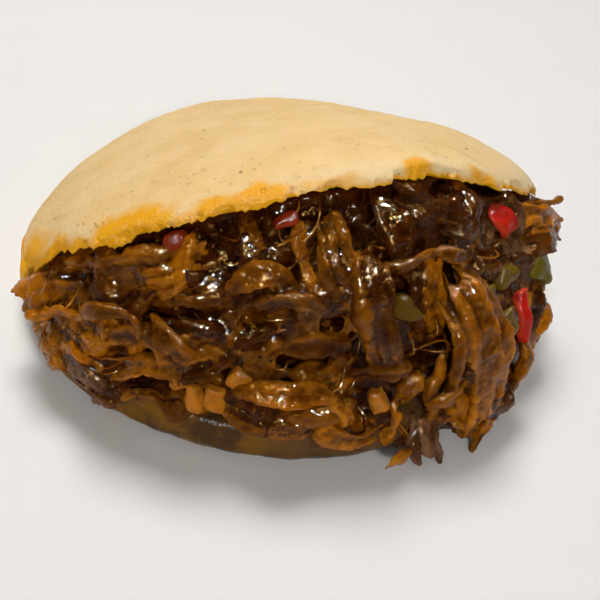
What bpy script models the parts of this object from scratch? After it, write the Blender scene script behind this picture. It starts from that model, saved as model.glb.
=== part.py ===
"""A corn-bread round split in two and filled with shredded beef, peppers and onion.

The two halves of bread meet at the back and open towards the front, with a heap of beef
between them that bulges out and hangs over the lower half's edge. Places on the heap are
given by an angle round it, 0 at the middle of its open side and growing to the right, and
by a height, 0 at the heap's foot and 1 where it goes under the upper half.
"""

import math
import random

import bmesh
import bpy
from mathutils import Matrix, Vector, noise

MM = 0.001
GAP = 0.3 * MM
FLOOR_GAP = 0.2 * MM

# The whole round
MOUTH_TURN = math.radians(22.2)
BOTTOM_WIDE = 65.0 * MM
BOTTOM_DEEP = 59.5 * MM
BACK_TRIM = 3.0 * MM
BACK_THICKNESS = 7.0 * MM
FRONT_THICKNESS = 12.0 * MM
THICKENING_LENGTH = 80.0 * MM
CURL_ANGLE = -98.0
CURL_SPREAD = 13.0
CURL_HEIGHT = 6.5 * MM
BREAD_STEPS = 60

# Upper half, tilted up from its hinge and drooping at both sides
TOP_WIDE = 61.1 * MM
TOP_DEEP = 55.4 * MM
HINGE = Vector((-2.5, 55.7, 8.8)) * MM
TILT = math.radians(29.2)
SIDE_DROOP = 18.6 * MM
DROOP_EASE = 0.12
CRUST_HEIGHT = 6.9 * MM
CRUST_SHOULDER = 0.58
CROWN = 2.0 * MM
LIP = 1.2 * MM
RIGHT_END_ANGLE = 72.0
RIGHT_END_SPREAD = 34.0
RIGHT_END_RISE = 2.2 * MM
LUMP_HEIGHT = 0.7 * MM
LUMP_LENGTH = 24.0 * MM

# Where the rim rises or dips: the angle, the spread in degrees and the height in mm
RIM_WAVES = [
    (-80, 7, -1.4), (-62, 9, 2.1), (-46, 9, 1.2), (-31, 9, 0.9), (-14, 12, 1.1), (3, 10, 1.7), (15, 6, 2.4),
    (26, 6, 1.9), (38, 10, 0.4),
]

# The heap at every 30 degrees, from the back round by the left side
TABLE_STEP = math.radians(30)
SPILL = [-18, -14, -6, -1, 0, -2, -1, 3, 0, -2, -4, -12]
FOOT_HEIGHT = [8, 8, 8, 6, 6.5, 10, 9, 2, 1.5, 4, 7, 8]
BULGE = [0, 0, 2, 6, 8, 8, 10, 13, 6, 4, 2, 0]
HEAD_REACH = [0.75, 0.80, 0.90, 0.95, 0.94, 0.93, 0.93, 0.94, 0.98, 0.99, 0.92, 0.80]
CORE_STEPS = 40
CORE_RINGS = 8
CORE_LUMPS = 1.6 * MM
CORE_LUMP_LENGTH = 8.0 * MM
SUNK_INTO_BOTTOM = 4.0 * MM
SUNK_INTO_TOP = 3.5 * MM
UPWARD = 0.35

# Shreds that stand out: (angle, height, mm above the heap) along each, width and depth in mm
SHREDS = [
    ([(17.5, 0.73, -1), (20, 0.66, 4), (22, 0.47, 5), (23, 0.24, 4), (23.5, 0.01, 3), (18, -0.10, 8)], 9.5, 4.5),
    ([(15, 0.65, -1), (16.5, 0.51, 3), (17.5, 0.32, 3), (19, 0.11, -1)], 6.0, 3.2),
    ([(19, 0.29, 2), (14, 0.23, 4), (12.5, 0.12, -1)], 3.4, 2.4),
    ([(15, -0.03, -1), (10.5, -0.03, 3), (6, -0.05, 6), (2, -0.07, 9)], 2.4, 1.8),
    ([(12.5, 0.10, -1), (12, 0.03, 2), (13.5, -0.13, 6)], 7.0, 2.4),
    ([(-10, 0.12, -1), (-7.5, 0.08, 3), (-1.5, 0.02, 3), (4.5, 0.08, 2)], 5.5, 2.0),
    ([(4.5, 0.08, 3), (4.5, 0.16, 4), (7, 0.20, -1)], 1.8, 1.6),
    ([(33.5, 0.19, -1), (28, 0.16, 3), (25, 0.02, 3)], 5.5, 3.0),
    ([(-26, 0.26, -1), (-21, 0.30, 4), (-14, 0.29, 4), (-8.5, 0.26, 4), (-5, 0.16, 3), (-6, 0.06, 1)], 3.6, 2.6),
    ([(-30.5, 0.17, -1), (-21.5, 0.10, 2), (-12.5, 0.08, 3), (-5, 0.07, -1)], 5.4, 3.0),
    ([(-42.5, 0.58, -1), (-37, 0.52, 4), (-34.5, 0.45, 4), (-32, 0.33, -1)], 9.0, 2.6),
    ([(-51.5, 0.19, -1), (-40.5, 0.34, 4), (-33.5, 0.33, 0)], 3.2, 2.4),
    ([(-47, 0.10, -1), (-38.5, 0.10, 3), (-33.5, 0.03, 0)], 3.6, 2.4),
    ([(-58.5, 0.52, -1), (-48, 0.68, 4), (-42.5, 0.64, 4), (-42.5, 0.46, -1)], 2.4, 2.2),
    ([(-57.5, 0.76, -1), (-63.5, 0.70, 1.5), (-69.5, 0.58, 4)], 3.6, 2.6),
    ([(-58, 0.58, -1), (-63.5, 0.55, 2), (-68, 0.47, 4)], 3.2, 2.4),
    ([(-63.5, 0.23, -1), (-54.5, 0.21, 2), (-53, 0.00, -1)], 7.0, 3.2),
    ([(-40, 0.57, -1), (-29, 0.56, 3), (-22, 0.45, -1)], 4.6, 2.6),
    ([(-22.5, 0.59, -1), (-13, 0.68, 3), (-4, 0.52, -1)], 5.4, 2.8),
    ([(-25.5, 0.61, -1), (-22, 0.76, 3), (-15, 0.77, 3), (-10.5, 0.63, -1)], 2.8, 2.4),
    ([(-5.5, 0.92, -1), (-5, 0.78, 3), (-3.5, 0.52, -1)], 4.6, 2.8),
    ([(-10, 0.92, -1), (-9, 0.68, 1)], 3.4, 2.4),
    ([(2.5, 0.82, -1), (0, 0.70, 5), (1, 0.49, 4), (4, 0.29, -1)], 7.6, 4.0),
    ([(3.5, 0.71, -1), (12, 0.77, 3), (27.5, 0.78, -1)], 3.6, 2.6),
    ([(-20.5, 0.96, -1), (-18, 0.83, 1.5)], 4.4, 2.8),
    ([(-65.5, 0.86, -1), (-46, 0.90, 2), (-33, 0.87, -1)], 5.0, 2.8),
    ([(-55.5, 0.76, -1), (-39, 0.80, 2), (-23.5, 0.78, -1)], 4.8, 2.8),
    ([(-40.5, 0.68, -1), (-29.5, 0.71, 2), (-21.5, 0.70, -1)], 4.0, 2.6),
    ([(45, 0.92, -1), (52, 0.98, 3), (60, 1.00, 8)], 2.4, 2.0),
    ([(40, 0.84, -1), (50, 0.90, 4), (62, 0.86, 6)], 8.0, 3.2),
    ([(41.5, 0.77, -1), (48, 0.79, 4), (62, 0.74, 5)], 6.0, 3.0),
    ([(8.5, 0.97, -1), (17, 0.94, 2), (30.5, 0.89, -1)], 6.5, 3.2),
    ([(14, 0.86, -1), (19, 0.86, 2), (29, 0.81, -1)], 4.2, 2.8),
    ([(35.5, 0.41, -1), (33, 0.26, 3), (31, 0.09, 0)], 4.2, 2.6),
    ([(48, 0.42, -1), (48, 0.32, 3.5), (44, 0.19, 0)], 4.6, 2.6),
    ([(-17, 0.43, -1), (-9, 0.46, 3), (-2, 0.40, -1)], 5.0, 2.8),
    ([(-3, 0.30, -1), (3, 0.36, 2), (10, 0.32, -1)], 4.4, 3.0),
    ([(-24, 0.40, -1), (-19, 0.50, 2), (-17, 0.58, -1)], 3.6, 2.6),
]

# Loose shreds between them, laid by rule
LOOSE_SEED = 4
LOOSE_ROWS = 6
LOOSE_SPREAD = 124.0
LOOSE_SPACING = 37.0
LOOSE_LENGTH = (16.0, 30.0)
LOOSE_WIDTH = (3.2, 5.4)
LOOSE_DEPTH = (1.8, 2.8)
LOOSE_LIFT = (0.8, 2.2)
LOOSE_DIP = -0.6
LOOSE_TURN = 0.7
LOOSE_BEND = 0.05
LOOSE_SIDES = 5
MM_PER_DEGREE = 1.12
MM_PER_HEIGHT = 58.0
KEEP_CLEAR = 6.5 * MM

# Vegetables: the same three numbers along each, then width and depth in mm
RED_PEPPERS = [
    ([(33, 0.85, 1.4), (39, 0.925, 1.4)], 8.5, 2.4),
    ([(35, 0.59, 1.6), (34.5, 0.47, 2), (34, 0.34, 1.6)], 3.4, 2.4),
    ([(-37.5, 0.925, 1.2), (-32.5, 0.930, 1.2)], 3.4, 2.2),
    ([(-15.5, 0.935, 1.2), (-11, 0.935, 1.2)], 3.0, 2.0),
]
GREEN_PEPPERS = [
    ([(43, 0.68, 1.6), (50, 0.58, 3.0)], 7.0, 3.0),
    ([(29, 0.67, 1.2), (34.5, 0.66, 1.2)], 5.0, 2.4),
    ([(25.5, 0.64, 1.8), (25.5, 0.55, 1.8)], 4.0, 2.4),
    ([(29, 0.54, 1.8), (29.5, 0.41, 1.8)], 4.0, 2.4),
    ([(5.5, 0.60, 1), (10.5, 0.56, 1)], 5.5, 2.4),
]
ONIONS = [
    ([(-27.5, 0.26, 2), (-28.5, 0.10, 2)], 4.0, 3.0),
    ([(-31.5, 0.25, 1.8), (-32.5, 0.10, 1.8)], 3.6, 3.0),
    ([(-24.5, 0.27, 1.6), (-22, 0.35, 1.6)], 4.4, 3.0),
    ([(1.5, 0.27, 1.6), (2, 0.16, 1.6)], 4.0, 3.0),
    ([(-68, 0.17, 1.4), (-64.5, 0.29, 1.4)], 4.0, 3.0),
]


def empty_file():
    for thing in list(bpy.data.objects):
        bpy.data.objects.remove(thing, do_unlink=True)


def material(name, colour, roughness):
    finish = bpy.data.materials.new(name)
    finish.use_nodes = True
    shader = finish.node_tree.nodes["Principled BSDF"]
    shader.inputs["Base Color"].default_value = (*colour, 1.0)
    shader.inputs["Roughness"].default_value = roughness
    shader.inputs["Metallic"].default_value = 0.0
    return finish


def add(name, bm, finish=None):
    """Makes an object of a bmesh, with its faces pointing outwards."""
    bm.normal_update()
    bmesh.ops.recalc_face_normals(bm, faces=bm.faces)
    mesh = bpy.data.meshes.new(name)
    bm.to_mesh(mesh)
    bm.free()
    thing = bpy.data.objects.new(name, mesh)
    bpy.context.scene.collection.objects.link(thing)
    if finish:
        mesh.materials.append(finish)
    return thing


def around(table, angle):
    """Reads a table of values at every 30 degrees, smoothly and all the way round."""
    place = (angle + math.pi) / TABLE_STEP
    first = math.floor(place)
    part = place - first
    before, here, after, beyond = (table[(first + k) % len(table)] for k in (-1, 0, 1, 2))
    curve = part * (3 * (here - after) + beyond - before) + 2 * before - 5 * here + 4 * after - beyond
    return here + 0.5 * part * (after - before + part * curve)


def smooth_step(value):
    value = min(max(value, 0.0), 1.0)
    return value * value * (3 - 2 * value)


def lathe(section, steps):
    """Turns a half section of (reach, level) points into a closed round."""
    bm = bmesh.new()
    line = [bm.verts.new((reach, 0, level)) for reach, level in section]
    edges = [bm.edges.new(pair) for pair in zip(line, line[1:])]
    bmesh.ops.spin(bm, geom=line + edges, cent=(0, 0, 0), axis=(0, 0, 1),
                   angle=2 * math.pi, steps=steps, use_merge=True)
    bmesh.ops.remove_doubles(bm, verts=bm.verts, dist=1e-5)
    return bm


def lump(place, height, length):
    return height * noise.noise(place / length)


def bottom_outline(angle, grow=0.0):
    uneven = 1 + 0.008 * math.sin(3 * angle + 0.6) + 0.005 * math.cos(5 * angle)
    deep = BOTTOM_DEEP - BACK_TRIM * (1 - math.cos(angle)) / 2
    return Vector(((BOTTOM_WIDE + grow) * math.sin(angle), -(deep + grow) * math.cos(angle), 0)) * uneven


def cut_height(place):
    """The lower half's thickness: thin at the hinge, full towards the front."""
    rise = smooth_step((BOTTOM_DEEP - place.y) / THICKENING_LENGTH)
    return BACK_THICKNESS + (FRONT_THICKNESS - BACK_THICKNESS) * rise


def curl(angle, reach):
    """How far the lower half's rim curls up at its left end, to meet the upper half's corner."""
    across = (math.degrees(angle) - CURL_ANGLE) / CURL_SPREAD
    return CURL_HEIGHT * math.exp(-across ** 2) * smooth_step((reach - 0.82) / 0.18)


def bread_bottom(grow=0.0):
    section = [(0, 0), (0.4, 0), (0.75, 0), (0.90, 0), (0.965, 0.12), (1.0, 0.38), (1.0, 0.70),
               (0.985, 1), (0.90, 1), (0.65, 1), (0.35, 1), (0, 1)]
    bm = lathe(section, BREAD_STEPS)
    for vert in bm.verts:
        angle = math.atan2(vert.co.x, -vert.co.y)
        reach = math.hypot(vert.co.x, vert.co.y)
        level = vert.co.z
        place = bottom_outline(angle, grow) * reach
        place.z = level * (cut_height(place) + curl(angle, reach)) + grow * (2 * level - 1)
        vert.co = place
    return bm


def rim_wave(angle):
    degrees = math.degrees(angle)
    return sum(rise * math.exp(-((degrees - middle) / spread) ** 2) for middle, spread, rise in RIM_WAVES) * MM


def top_place(reach, angle, lift):
    """A point of the upper half: reach 0 to 1 from its middle to its rim, lift above its cut face."""
    along = TOP_DEEP * (1 + reach * math.cos(angle))
    side = reach * math.sin(angle)
    across = TOP_WIDE * side
    lift += rim_wave(angle) * smooth_step((reach - 0.75) / 0.25)
    lift -= SIDE_DROOP * side ** 2 * (1 - DROOP_EASE * side ** 2)
    return HINGE + Vector((across,
                           lift * math.sin(TILT) - along * math.cos(TILT),
                           along * math.sin(TILT) + lift * math.cos(TILT)))


def crust_height(reach):
    shoulder = max(0.0, (reach - CRUST_SHOULDER) / (1 - CRUST_SHOULDER))
    return LIP + CRUST_HEIGHT * math.sqrt(max(0.0, 1 - shoulder ** 2)) + CROWN * (1 - reach ** 2)


def right_end_rise(angle, reach):
    across = (math.degrees(angle) - RIGHT_END_ANGLE) / RIGHT_END_SPREAD
    return RIGHT_END_RISE * math.exp(-across ** 2) * smooth_step((reach - 0.25) / 0.75)


def bread_top(grow=0.0):
    section = [(0, 0), (0.35, 0), (0.65, 0), (0.88, 0), (1.0, 0), (1.0, 1), (0.985, 1), (0.95, 1),
               (0.89, 1), (0.80, 1), (0.66, 1), (0.50, 1), (0.30, 1), (0, 1)]
    bm = lathe(section, BREAD_STEPS)
    for vert in bm.verts:
        angle = math.atan2(vert.co.x, -vert.co.y)
        reach = min(1.0, math.hypot(vert.co.x, vert.co.y))
        level = vert.co.z
        lift = level * crust_height(reach) + right_end_rise(angle, reach) + grow * (2 * level - 1)
        place = top_place(reach * (1 + grow / TOP_WIDE), angle, lift)
        place.z += lump(place, LUMP_HEIGHT, LUMP_LENGTH) * level * (1 - reach ** 4)
        vert.co = place
    return bm


def outward(angle):
    return Vector((math.sin(angle), -math.cos(angle), UPWARD)).normalized()


def heap(angle, height, out=0.0):
    """A point of the heap's bare surface, or out from it."""
    foot = bottom_outline(angle, around(SPILL, angle) * MM)
    foot.z = around(FOOT_HEIGHT, angle) * MM
    head = top_place(around(HEAD_REACH, angle), angle, -0.5 * MM)
    belly = (foot + head) / 2 + outward(angle) * around(BULGE, angle) * MM
    low = 1 - height
    return foot * low * low + belly * 2 * height * low + head * height * height + outward(angle) * out


def heap_frame(angle, height):
    """The directions along the heap, up it and out of it."""
    step = 0.02
    along = heap(angle + step, height) - heap(angle - step, height)
    up = heap(angle, height + step) - heap(angle, height - step)
    out = along.cross(up).normalized()
    along.normalize()
    return along, out.cross(along), out


def beef_core():
    """The heap without its shreds, let into both halves of bread, which are then cut away from it."""
    foot_cap = [(0, -1.0), (0.45, -1.0), (0.88, -1.0)]
    wall = [(1.0, ring / (CORE_RINGS - 1)) for ring in range(CORE_RINGS)]
    head_cap = [(0.93, 2.0), (0.5, 2.0), (0, 2.0)]
    bm = lathe([(reach, level) for reach, level in foot_cap + wall + head_cap], CORE_STEPS)
    for vert in bm.verts:
        angle = math.atan2(vert.co.x, -vert.co.y)
        reach = math.hypot(vert.co.x, vert.co.y)
        level = vert.co.z
        if level < 0:
            place = bottom_outline(angle, min(0.0, around(SPILL, angle) * MM)) * reach
            place.z = SUNK_INTO_BOTTOM
        elif level > 1:
            place = top_place(reach * around(HEAD_REACH, angle), angle, SUNK_INTO_TOP)
        else:
            place = heap(angle, level)
            rough = math.sin(math.pi * level)
            place += outward(angle) * lump(place, CORE_LUMPS, CORE_LUMP_LENGTH) * rough
        vert.co = place
    return bm


def along_route(route, part):
    """Reads a route of points smoothly, from part 0 at its start to 1 at its end."""
    place = part * (len(route) - 1)
    first = min(int(place), len(route) - 2)
    part = place - first
    here, after = Vector(route[first]), Vector(route[first + 1])
    before = Vector(route[first - 1]) if first > 0 else 2 * here - after
    beyond = Vector(route[first + 2]) if first + 2 < len(route) else 2 * after - here
    curve = part * (3 * (here - after) + beyond - before) + 2 * before - 5 * here + 4 * after - beyond
    return here + 0.5 * part * (after - before + part * curve)


def route_place(route, part):
    angle, height, out = along_route(route, part)
    return heap(math.radians(angle), height, out * MM), heap_frame(math.radians(angle), height)[2]


def strip(route, width, depth, taper=1.0, sides=6, grow=0.0):
    """A flat strip along a route on the heap: its ends taper, or are blunt where taper is 0."""
    cuts = 2 * len(route) - (2 if taper else 3)
    bm = bmesh.new()
    bmesh.ops.create_cone(bm, cap_ends=True, segments=sides, radius1=1, radius2=1, depth=1)
    long_edges = [edge for edge in bm.edges if abs(edge.verts[0].co.z - edge.verts[1].co.z) > 0.5]
    bmesh.ops.subdivide_edges(bm, edges=long_edges, cuts=cuts)
    half_width = width * MM / 2 + grow
    half_depth = depth * MM / 2 + grow
    for vert in bm.verts:
        part = vert.co.z + 0.5
        centre, out = route_place(route, part)
        ahead = route_place(route, min(part + 0.04, 1))[0] - route_place(route, max(part - 0.04, 0))[0]
        ahead.normalize()
        side = out.cross(ahead).normalized()
        out = ahead.cross(side)
        end = abs(2 * part - 1)
        narrow = 1 - taper * 0.6 * end ** 4
        centre += ahead * grow * (2 * part - 1)
        centre.z = max(centre.z, FLOOR_GAP + half_depth * narrow)
        vert.co = centre + side * vert.co.x * half_width * narrow + out * vert.co.y * half_depth * narrow
        vert.co.z = max(vert.co.z, FLOOR_GAP)
    return bm


def clear_of_vegetables(route):
    for part in (0.0, 0.5, 1.0):
        place = route_place(route, part)[0]
        for other, width, depth in RED_PEPPERS + GREEN_PEPPERS + ONIONS:
            if (route_place(other, 0.5)[0] - place).length < KEEP_CLEAR:
                return False
    return True


def loose_shreds():
    """Shorter shreds in rows up the heap, each turned and moved a little by a seeded draw."""
    draw = random.Random(LOOSE_SEED)
    shreds = []
    for row in range(LOOSE_ROWS):
        height = (row + 0.5) / LOOSE_ROWS
        angle = -LOOSE_SPREAD + draw.uniform(0, LOOSE_SPACING / 2)
        while angle < LOOSE_SPREAD:
            length = draw.uniform(*LOOSE_LENGTH) * MM / 2
            turn = draw.gauss(0, LOOSE_TURN)
            run = length / MM * math.cos(turn) / MM_PER_DEGREE
            rise = length / MM * math.sin(turn) / MM_PER_HEIGHT
            bend = draw.uniform(-LOOSE_BEND, LOOSE_BEND)
            middle = min(max(height + draw.uniform(-0.06, 0.06), 0.06), 0.94)
            low = min(max(middle - rise, 0.02), 0.97)
            high = min(max(middle + rise, 0.02), 0.97)
            crest = (angle, middle + bend, draw.uniform(*LOOSE_LIFT))
            route = [(angle - run, low, LOOSE_DIP), crest, (angle + run, high, LOOSE_DIP)]
            if clear_of_vegetables(route):
                width = draw.uniform(*LOOSE_WIDTH)
                shreds.append((route, width, draw.uniform(*LOOSE_DEPTH), 1.0, LOOSE_SIDES))
            angle += LOOSE_SPACING * draw.uniform(0.8, 1.2)
    return shreds


def collection_of(name, meshes):
    group = bpy.data.collections.new(name)
    bpy.context.scene.collection.children.link(group)
    for number, bm in enumerate(meshes):
        thing = add(f"{name}_{number}", bm)
        bpy.context.scene.collection.objects.unlink(thing)
        group.objects.link(thing)
    return group


def combine(thing, group, operation, solver="MANIFOLD"):
    """Joins a collection to an object or cuts it away, and then removes the collection."""
    boolean = thing.modifiers.new(operation, "BOOLEAN")
    boolean.operation = operation
    boolean.operand_type = "COLLECTION"
    boolean.collection = group
    boolean.solver = solver
    bpy.context.view_layer.update()
    result = bpy.data.meshes.new_from_object(thing.evaluated_get(bpy.context.evaluated_depsgraph_get()))
    thing.modifiers.clear()
    thing.data = result
    for other in list(group.objects):
        bpy.data.objects.remove(other, do_unlink=True)
    bpy.data.collections.remove(group)


def keep_largest_shell(thing):
    """Drops loose scraps and fills sealed hollows, by keeping the biggest shell alone."""
    bm = bmesh.new()
    bm.from_mesh(thing.data)
    unseen = set(bm.faces)
    shells = []
    while unseen:
        shell = set()
        waiting = [unseen.pop()]
        while waiting:
            face = waiting.pop()
            shell.add(face)
            for edge in face.edges:
                if len(edge.link_faces) == 2:
                    beside = [other for other in edge.link_faces if other in unseen]
                    unseen.difference_update(beside)
                    waiting.extend(beside)
        shells.append(shell)
    shells.sort(key=len)
    for shell in shells[:-1]:
        bmesh.ops.delete(bm, geom=list(shell), context="FACES")
    bm.to_mesh(thing.data)
    bm.free()


def vegetable_pieces(grow=0.0):
    for name, pieces in (("red_pepper", RED_PEPPERS), ("green_pepper", GREEN_PEPPERS), ("onion", ONIONS)):
        for number, (route, width, depth) in enumerate(pieces, start=1):
            yield f"{name}_{number}", strip(route, width, depth, taper=0.0, sides=8, grow=grow)


def shredded_beef(finish):
    beef = add("shredded_beef", beef_core(), finish)
    routes = SHREDS + loose_shreds()
    combine(beef, collection_of("shreds", [strip(*shred) for shred in routes]), "UNION")
    clearances = [bread_bottom(GAP), bread_top(GAP)] + [bm for name, bm in vegetable_pieces(GAP)]
    combine(beef, collection_of("clearances", clearances), "DIFFERENCE")
    keep_largest_shell(beef)
    return beef


def centre_on_origin(rig):
    """Turns the mouth and moves the whole so that its box stands centred on the origin."""
    rig.rotation_euler.z = MOUTH_TURN
    turned = Matrix.Rotation(MOUTH_TURN, 4, "Z")
    places = [turned @ vert.co for thing in rig.children for vert in thing.data.vertices]
    for axis in (0, 1):
        values = [place[axis] for place in places]
        rig.location[axis] = -(min(values) + max(values)) / 2


def main():
    empty_file()
    crust = material("corn_crust", (0.80, 0.56, 0.26), 0.75)
    soaked = material("soaked_crust", (0.36, 0.20, 0.07), 0.5)
    meat = material("sauced_beef", (0.16, 0.065, 0.018), 0.25)
    colours = {
        "red_pepper": material("red_pepper_flesh", (0.42, 0.025, 0.012), 0.3),
        "green_pepper": material("green_pepper_flesh", (0.14, 0.12, 0.012), 0.3),
        "onion": material("glazed_onion", (0.50, 0.24, 0.05), 0.3),
    }
    rig = bpy.data.objects.new("arepa", None)
    bpy.context.scene.collection.objects.link(rig)
    things = [add("arepa_bottom", bread_bottom(), soaked), add("arepa_top", bread_top(), crust)]
    things.append(shredded_beef(meat))
    for name, bm in vegetable_pieces():
        things.append(add(name, bm, colours[name.rsplit("_", 1)[0]]))
    for thing in things:
        thing.parent = rig
    centre_on_origin(rig)


main()
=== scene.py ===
"""A corn-bread round split in two and heaped with sauced shredded beef, dressed for its render.

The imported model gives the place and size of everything. Places on the heap are given, as in the
solids, by an angle round it, 0 at the middle of its open side and growing to the right, and by a
height, 0 at its foot and 1 where it goes under the upper half of bread.
"""

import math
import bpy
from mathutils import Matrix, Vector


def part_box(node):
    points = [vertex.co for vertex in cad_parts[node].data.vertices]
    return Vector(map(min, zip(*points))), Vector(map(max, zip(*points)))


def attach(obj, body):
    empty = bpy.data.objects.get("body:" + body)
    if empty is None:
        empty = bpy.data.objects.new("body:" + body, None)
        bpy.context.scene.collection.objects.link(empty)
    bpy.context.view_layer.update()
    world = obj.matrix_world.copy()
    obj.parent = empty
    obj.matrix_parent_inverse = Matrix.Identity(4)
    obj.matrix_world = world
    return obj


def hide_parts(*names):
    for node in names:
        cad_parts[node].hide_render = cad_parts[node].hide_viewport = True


bl_info = {
    "name": "Shredded Beef Arepa",
    "version": (1, 0, 0),
    "blender": (4, 5, 0),
    "location": "3D View > Sidebar > Arepa",
    "description": "Dresses the packed solids of a filled corn bread with crust, beef and vegetables",
    "category": "Mesh",
}

import bmesh
import bpy
import numpy as np
from bpy.props import FloatProperty, FloatVectorProperty, IntProperty, PointerProperty
from mathutils import Matrix, Vector
from mathutils.kdtree import KDTree

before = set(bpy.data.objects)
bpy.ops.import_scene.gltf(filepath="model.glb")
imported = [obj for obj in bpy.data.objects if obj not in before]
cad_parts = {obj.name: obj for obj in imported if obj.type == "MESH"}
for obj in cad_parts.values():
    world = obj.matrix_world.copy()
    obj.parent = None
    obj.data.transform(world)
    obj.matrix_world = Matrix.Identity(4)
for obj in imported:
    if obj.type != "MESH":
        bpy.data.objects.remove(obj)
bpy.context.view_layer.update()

MM = 0.001

# The solids' own sizes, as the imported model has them
MOUTH_TURN = math.radians(22.2)
BOTTOM_WIDE = 65.0 * MM
BOTTOM_DEEP = 59.5 * MM
BACK_TRIM = 3.0 * MM
BACK_THICKNESS = 7.0 * MM
FRONT_THICKNESS = 12.0 * MM
THICKENING_LENGTH = 80.0 * MM
TOP_WIDE = 61.1 * MM
TOP_DEEP = 55.4 * MM
HINGE = np.array((-2.5, 55.7, 8.8)) * MM
TILT = math.radians(29.2)
SIDE_DROOP = 18.6 * MM
DROOP_EASE = 0.12
CRUST_HEIGHT = 6.9 * MM
CRUST_SHOULDER = 0.58
CROWN = 2.0 * MM
LIP = 1.2 * MM
HEAD_GAP = 0.5 * MM

# How uneven the lower half's round is, in shares of its size: three lobes and five ripples
LOBES = 0.008
RIPPLES = 0.005

# The upper half's rim goes up and down along its way: middle and spread in degrees, rise in mm
RIM_WAVES = [
    (-80, 7, -1.4), (-62, 9, 2.1), (-46, 9, 1.2), (-31, 9, 0.9), (-14, 12, 1.1), (3, 10, 1.7),
    (15, 6, 2.4), (26, 6, 1.9), (38, 10, 0.4),
]

# The heap at every 30 degrees round it, from the back: how far its foot stands out of the lower half's
# edge, its foot's height and its bulge, all in mm, and its head's place from the upper half's middle,
# 0, to its rim, 1
TABLE_STEP = math.radians(30)
SPILL = [-18, -14, -6, -1, 0, -2, -1, 3, 0, -2, -4, -12]
FOOT_HEIGHT = [8, 8, 8, 6, 6.5, 10, 9, 2, 1.5, 4, 7, 8]
BULGE = [0, 0, 2, 6, 8, 8, 10, 13, 6, 4, 2, 0]
HEAD_REACH = [0.75, 0.80, 0.90, 0.95, 0.94, 0.93, 0.93, 0.94, 0.98, 0.99, 0.92, 0.80]
UPWARD = 0.35

# How far apart places on the heap are, for each degree of angle and for the whole height
MM_PER_DEGREE = 1.12
MM_PER_HEIGHT = 58

# The photograph's camera, and where the bread's middle is in the space that it was measured in
CAMERA_PLACE = Vector((3.1, -200.7, 190.6)) * MM
CAMERA_DOWN = math.radians(45.6)
CAMERA_ROLL = math.radians(7.7)
CAMERA_LENS = 62.7
CAMERA_SENSOR = 36
BREAD_CENTRE = Vector((-2.0, -7.0, 0.0)) * MM

# At its right end the upper half's rim stands higher. At its left end its corner hangs lower, and the
# lower half's rim curls up to meet it. Angles and spreads are in degrees
RIGHT_END_ANGLE = 72
RIGHT_END_SPREAD = 34
RIGHT_END_RISE = 2.2 * MM
CORNER_ANGLE = -84
CORNER_SPREAD = 9
CORNER_DROP = 1.5 * MM
CURL_ANGLE = -98
CURL_SPREAD = 13
CURL_HEIGHT = 6.5 * MM

# The heap draws back past an angle at its left end, by some mm within some degrees
LEFT_END_ANGLE = -70
LEFT_END_FADE = 12
LEFT_END_INSET = 6.0

# The lower half's half section, as shares of its reach and height, from its middle and back to it
BOTTOM_CORNERS = [
    (0, 0), (0.4, 0), (0.75, 0), (0.90, 0.0), (0.94, 0.03), (0.965, 0.12), (0.985, 0.24), (1, 0.40),
    (1.0, 0.70), (0.995, 0.88), (0.98, 1), (0.90, 1), (0.65, 1), (0.35, 1), (0, 1),
]

# How many steps each half of bread is turned in
TOP_STEPS = 800
BOTTOM_STEPS = 440

# The upper half's torn rim, in mm: how long its bites, tears, frays and two sizes of crumb are, and how
# far in from the edge it is torn, with the share of each in its raggedness
BITE_LENGTH, BITE_SHARE = 5, 0.5
TEAR_LENGTH, TEAR_SHARE = 4, 0.55
FRAY_LENGTH, FRAY_SHARE = 1.7, 0.3
CRUMB_LENGTH, SMALL_CRUMB_LENGTH, CRUMB_SHARE = 1.9, 1.1, 0.7
TORN_DEPTH = 1.0

# The heap's hidden body, in mm: how deep under its surface it is, and its gaps to the bread
CORE_DEPTH = 4.2
CORE_CLEAR_BELOW = 0.4
CORE_CLEAR_ABOVE = 0.7

# Shreds, in mm unless said: how wide a strand is and its number of points, how far and in what length
# shreds wander, their twist in radians, how high the lowest is, and the angles in degrees and the
# heights that they lie between
STRAND_WIDTH = 2.7
STRAND_STOPS = 7
WANDER = 4.0
WANDER_LENGTH = 8
TWIST = 0.5
LOWEST = 0.3
SHRED_ANGLES = (-128, 128)
SHRED_HEIGHTS = (0.03, 0.96)

# How far a known lie of the shreds reaches, in degrees and in height
LIE_REACH = (16, 0.22)

# How deep sauce stands in the heap's crevices, and the cells of its merged skins as shares of the sauce
# fillet's, in a full run and in a quick one
POOL_DEPTH = 0.25 * MM
MASS_CELL, QUICK_MASS_CELL = 1.22, 1.9
SHRED_CELL, QUICK_SHRED_CELL = 0.85, 1.3

# Colours that no setting holds
# Pale crumb, which along the upper half's rim is painted light
PALE_CRUMB_AND_RIM_LIGHT = (0.80, 0.66, 0.42)
# The pores' colour is painted shadow in the crust's pits
PORE_PAINTED_SHADOW = (0.50, 0.28, 0.09)
SPECK_SHADE = (0.13, 0.055, 0.018)
SOAKED_SPECK_SHADE = (0.16, 0.07, 0.02)
OLIVE_SOAK = (0.20, 0.088, 0.005)
# The sauce film's colour darkens vegetables, and under the upper half's rim it is partly painted shade
SAUCE_FILM_AND_SHADE = (0.14, 0.045, 0.003)
SAUCE_GLOSS = (1.0, 0.55, 0.12, 1.0)
STREAK_SHARE = (0.62, 0.55, 0.45)
# Darkening of the beef in its crevices: partly thicker pooled sauce, partly painted shade
POOLED_SAUCE_AND_SHADE_SHARE = (0.30, 0.22, 0.15)
AIR_COLOUR = (1.0, 0.92, 0.80, 1)
AIR_LIGHT = 0.12

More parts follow.
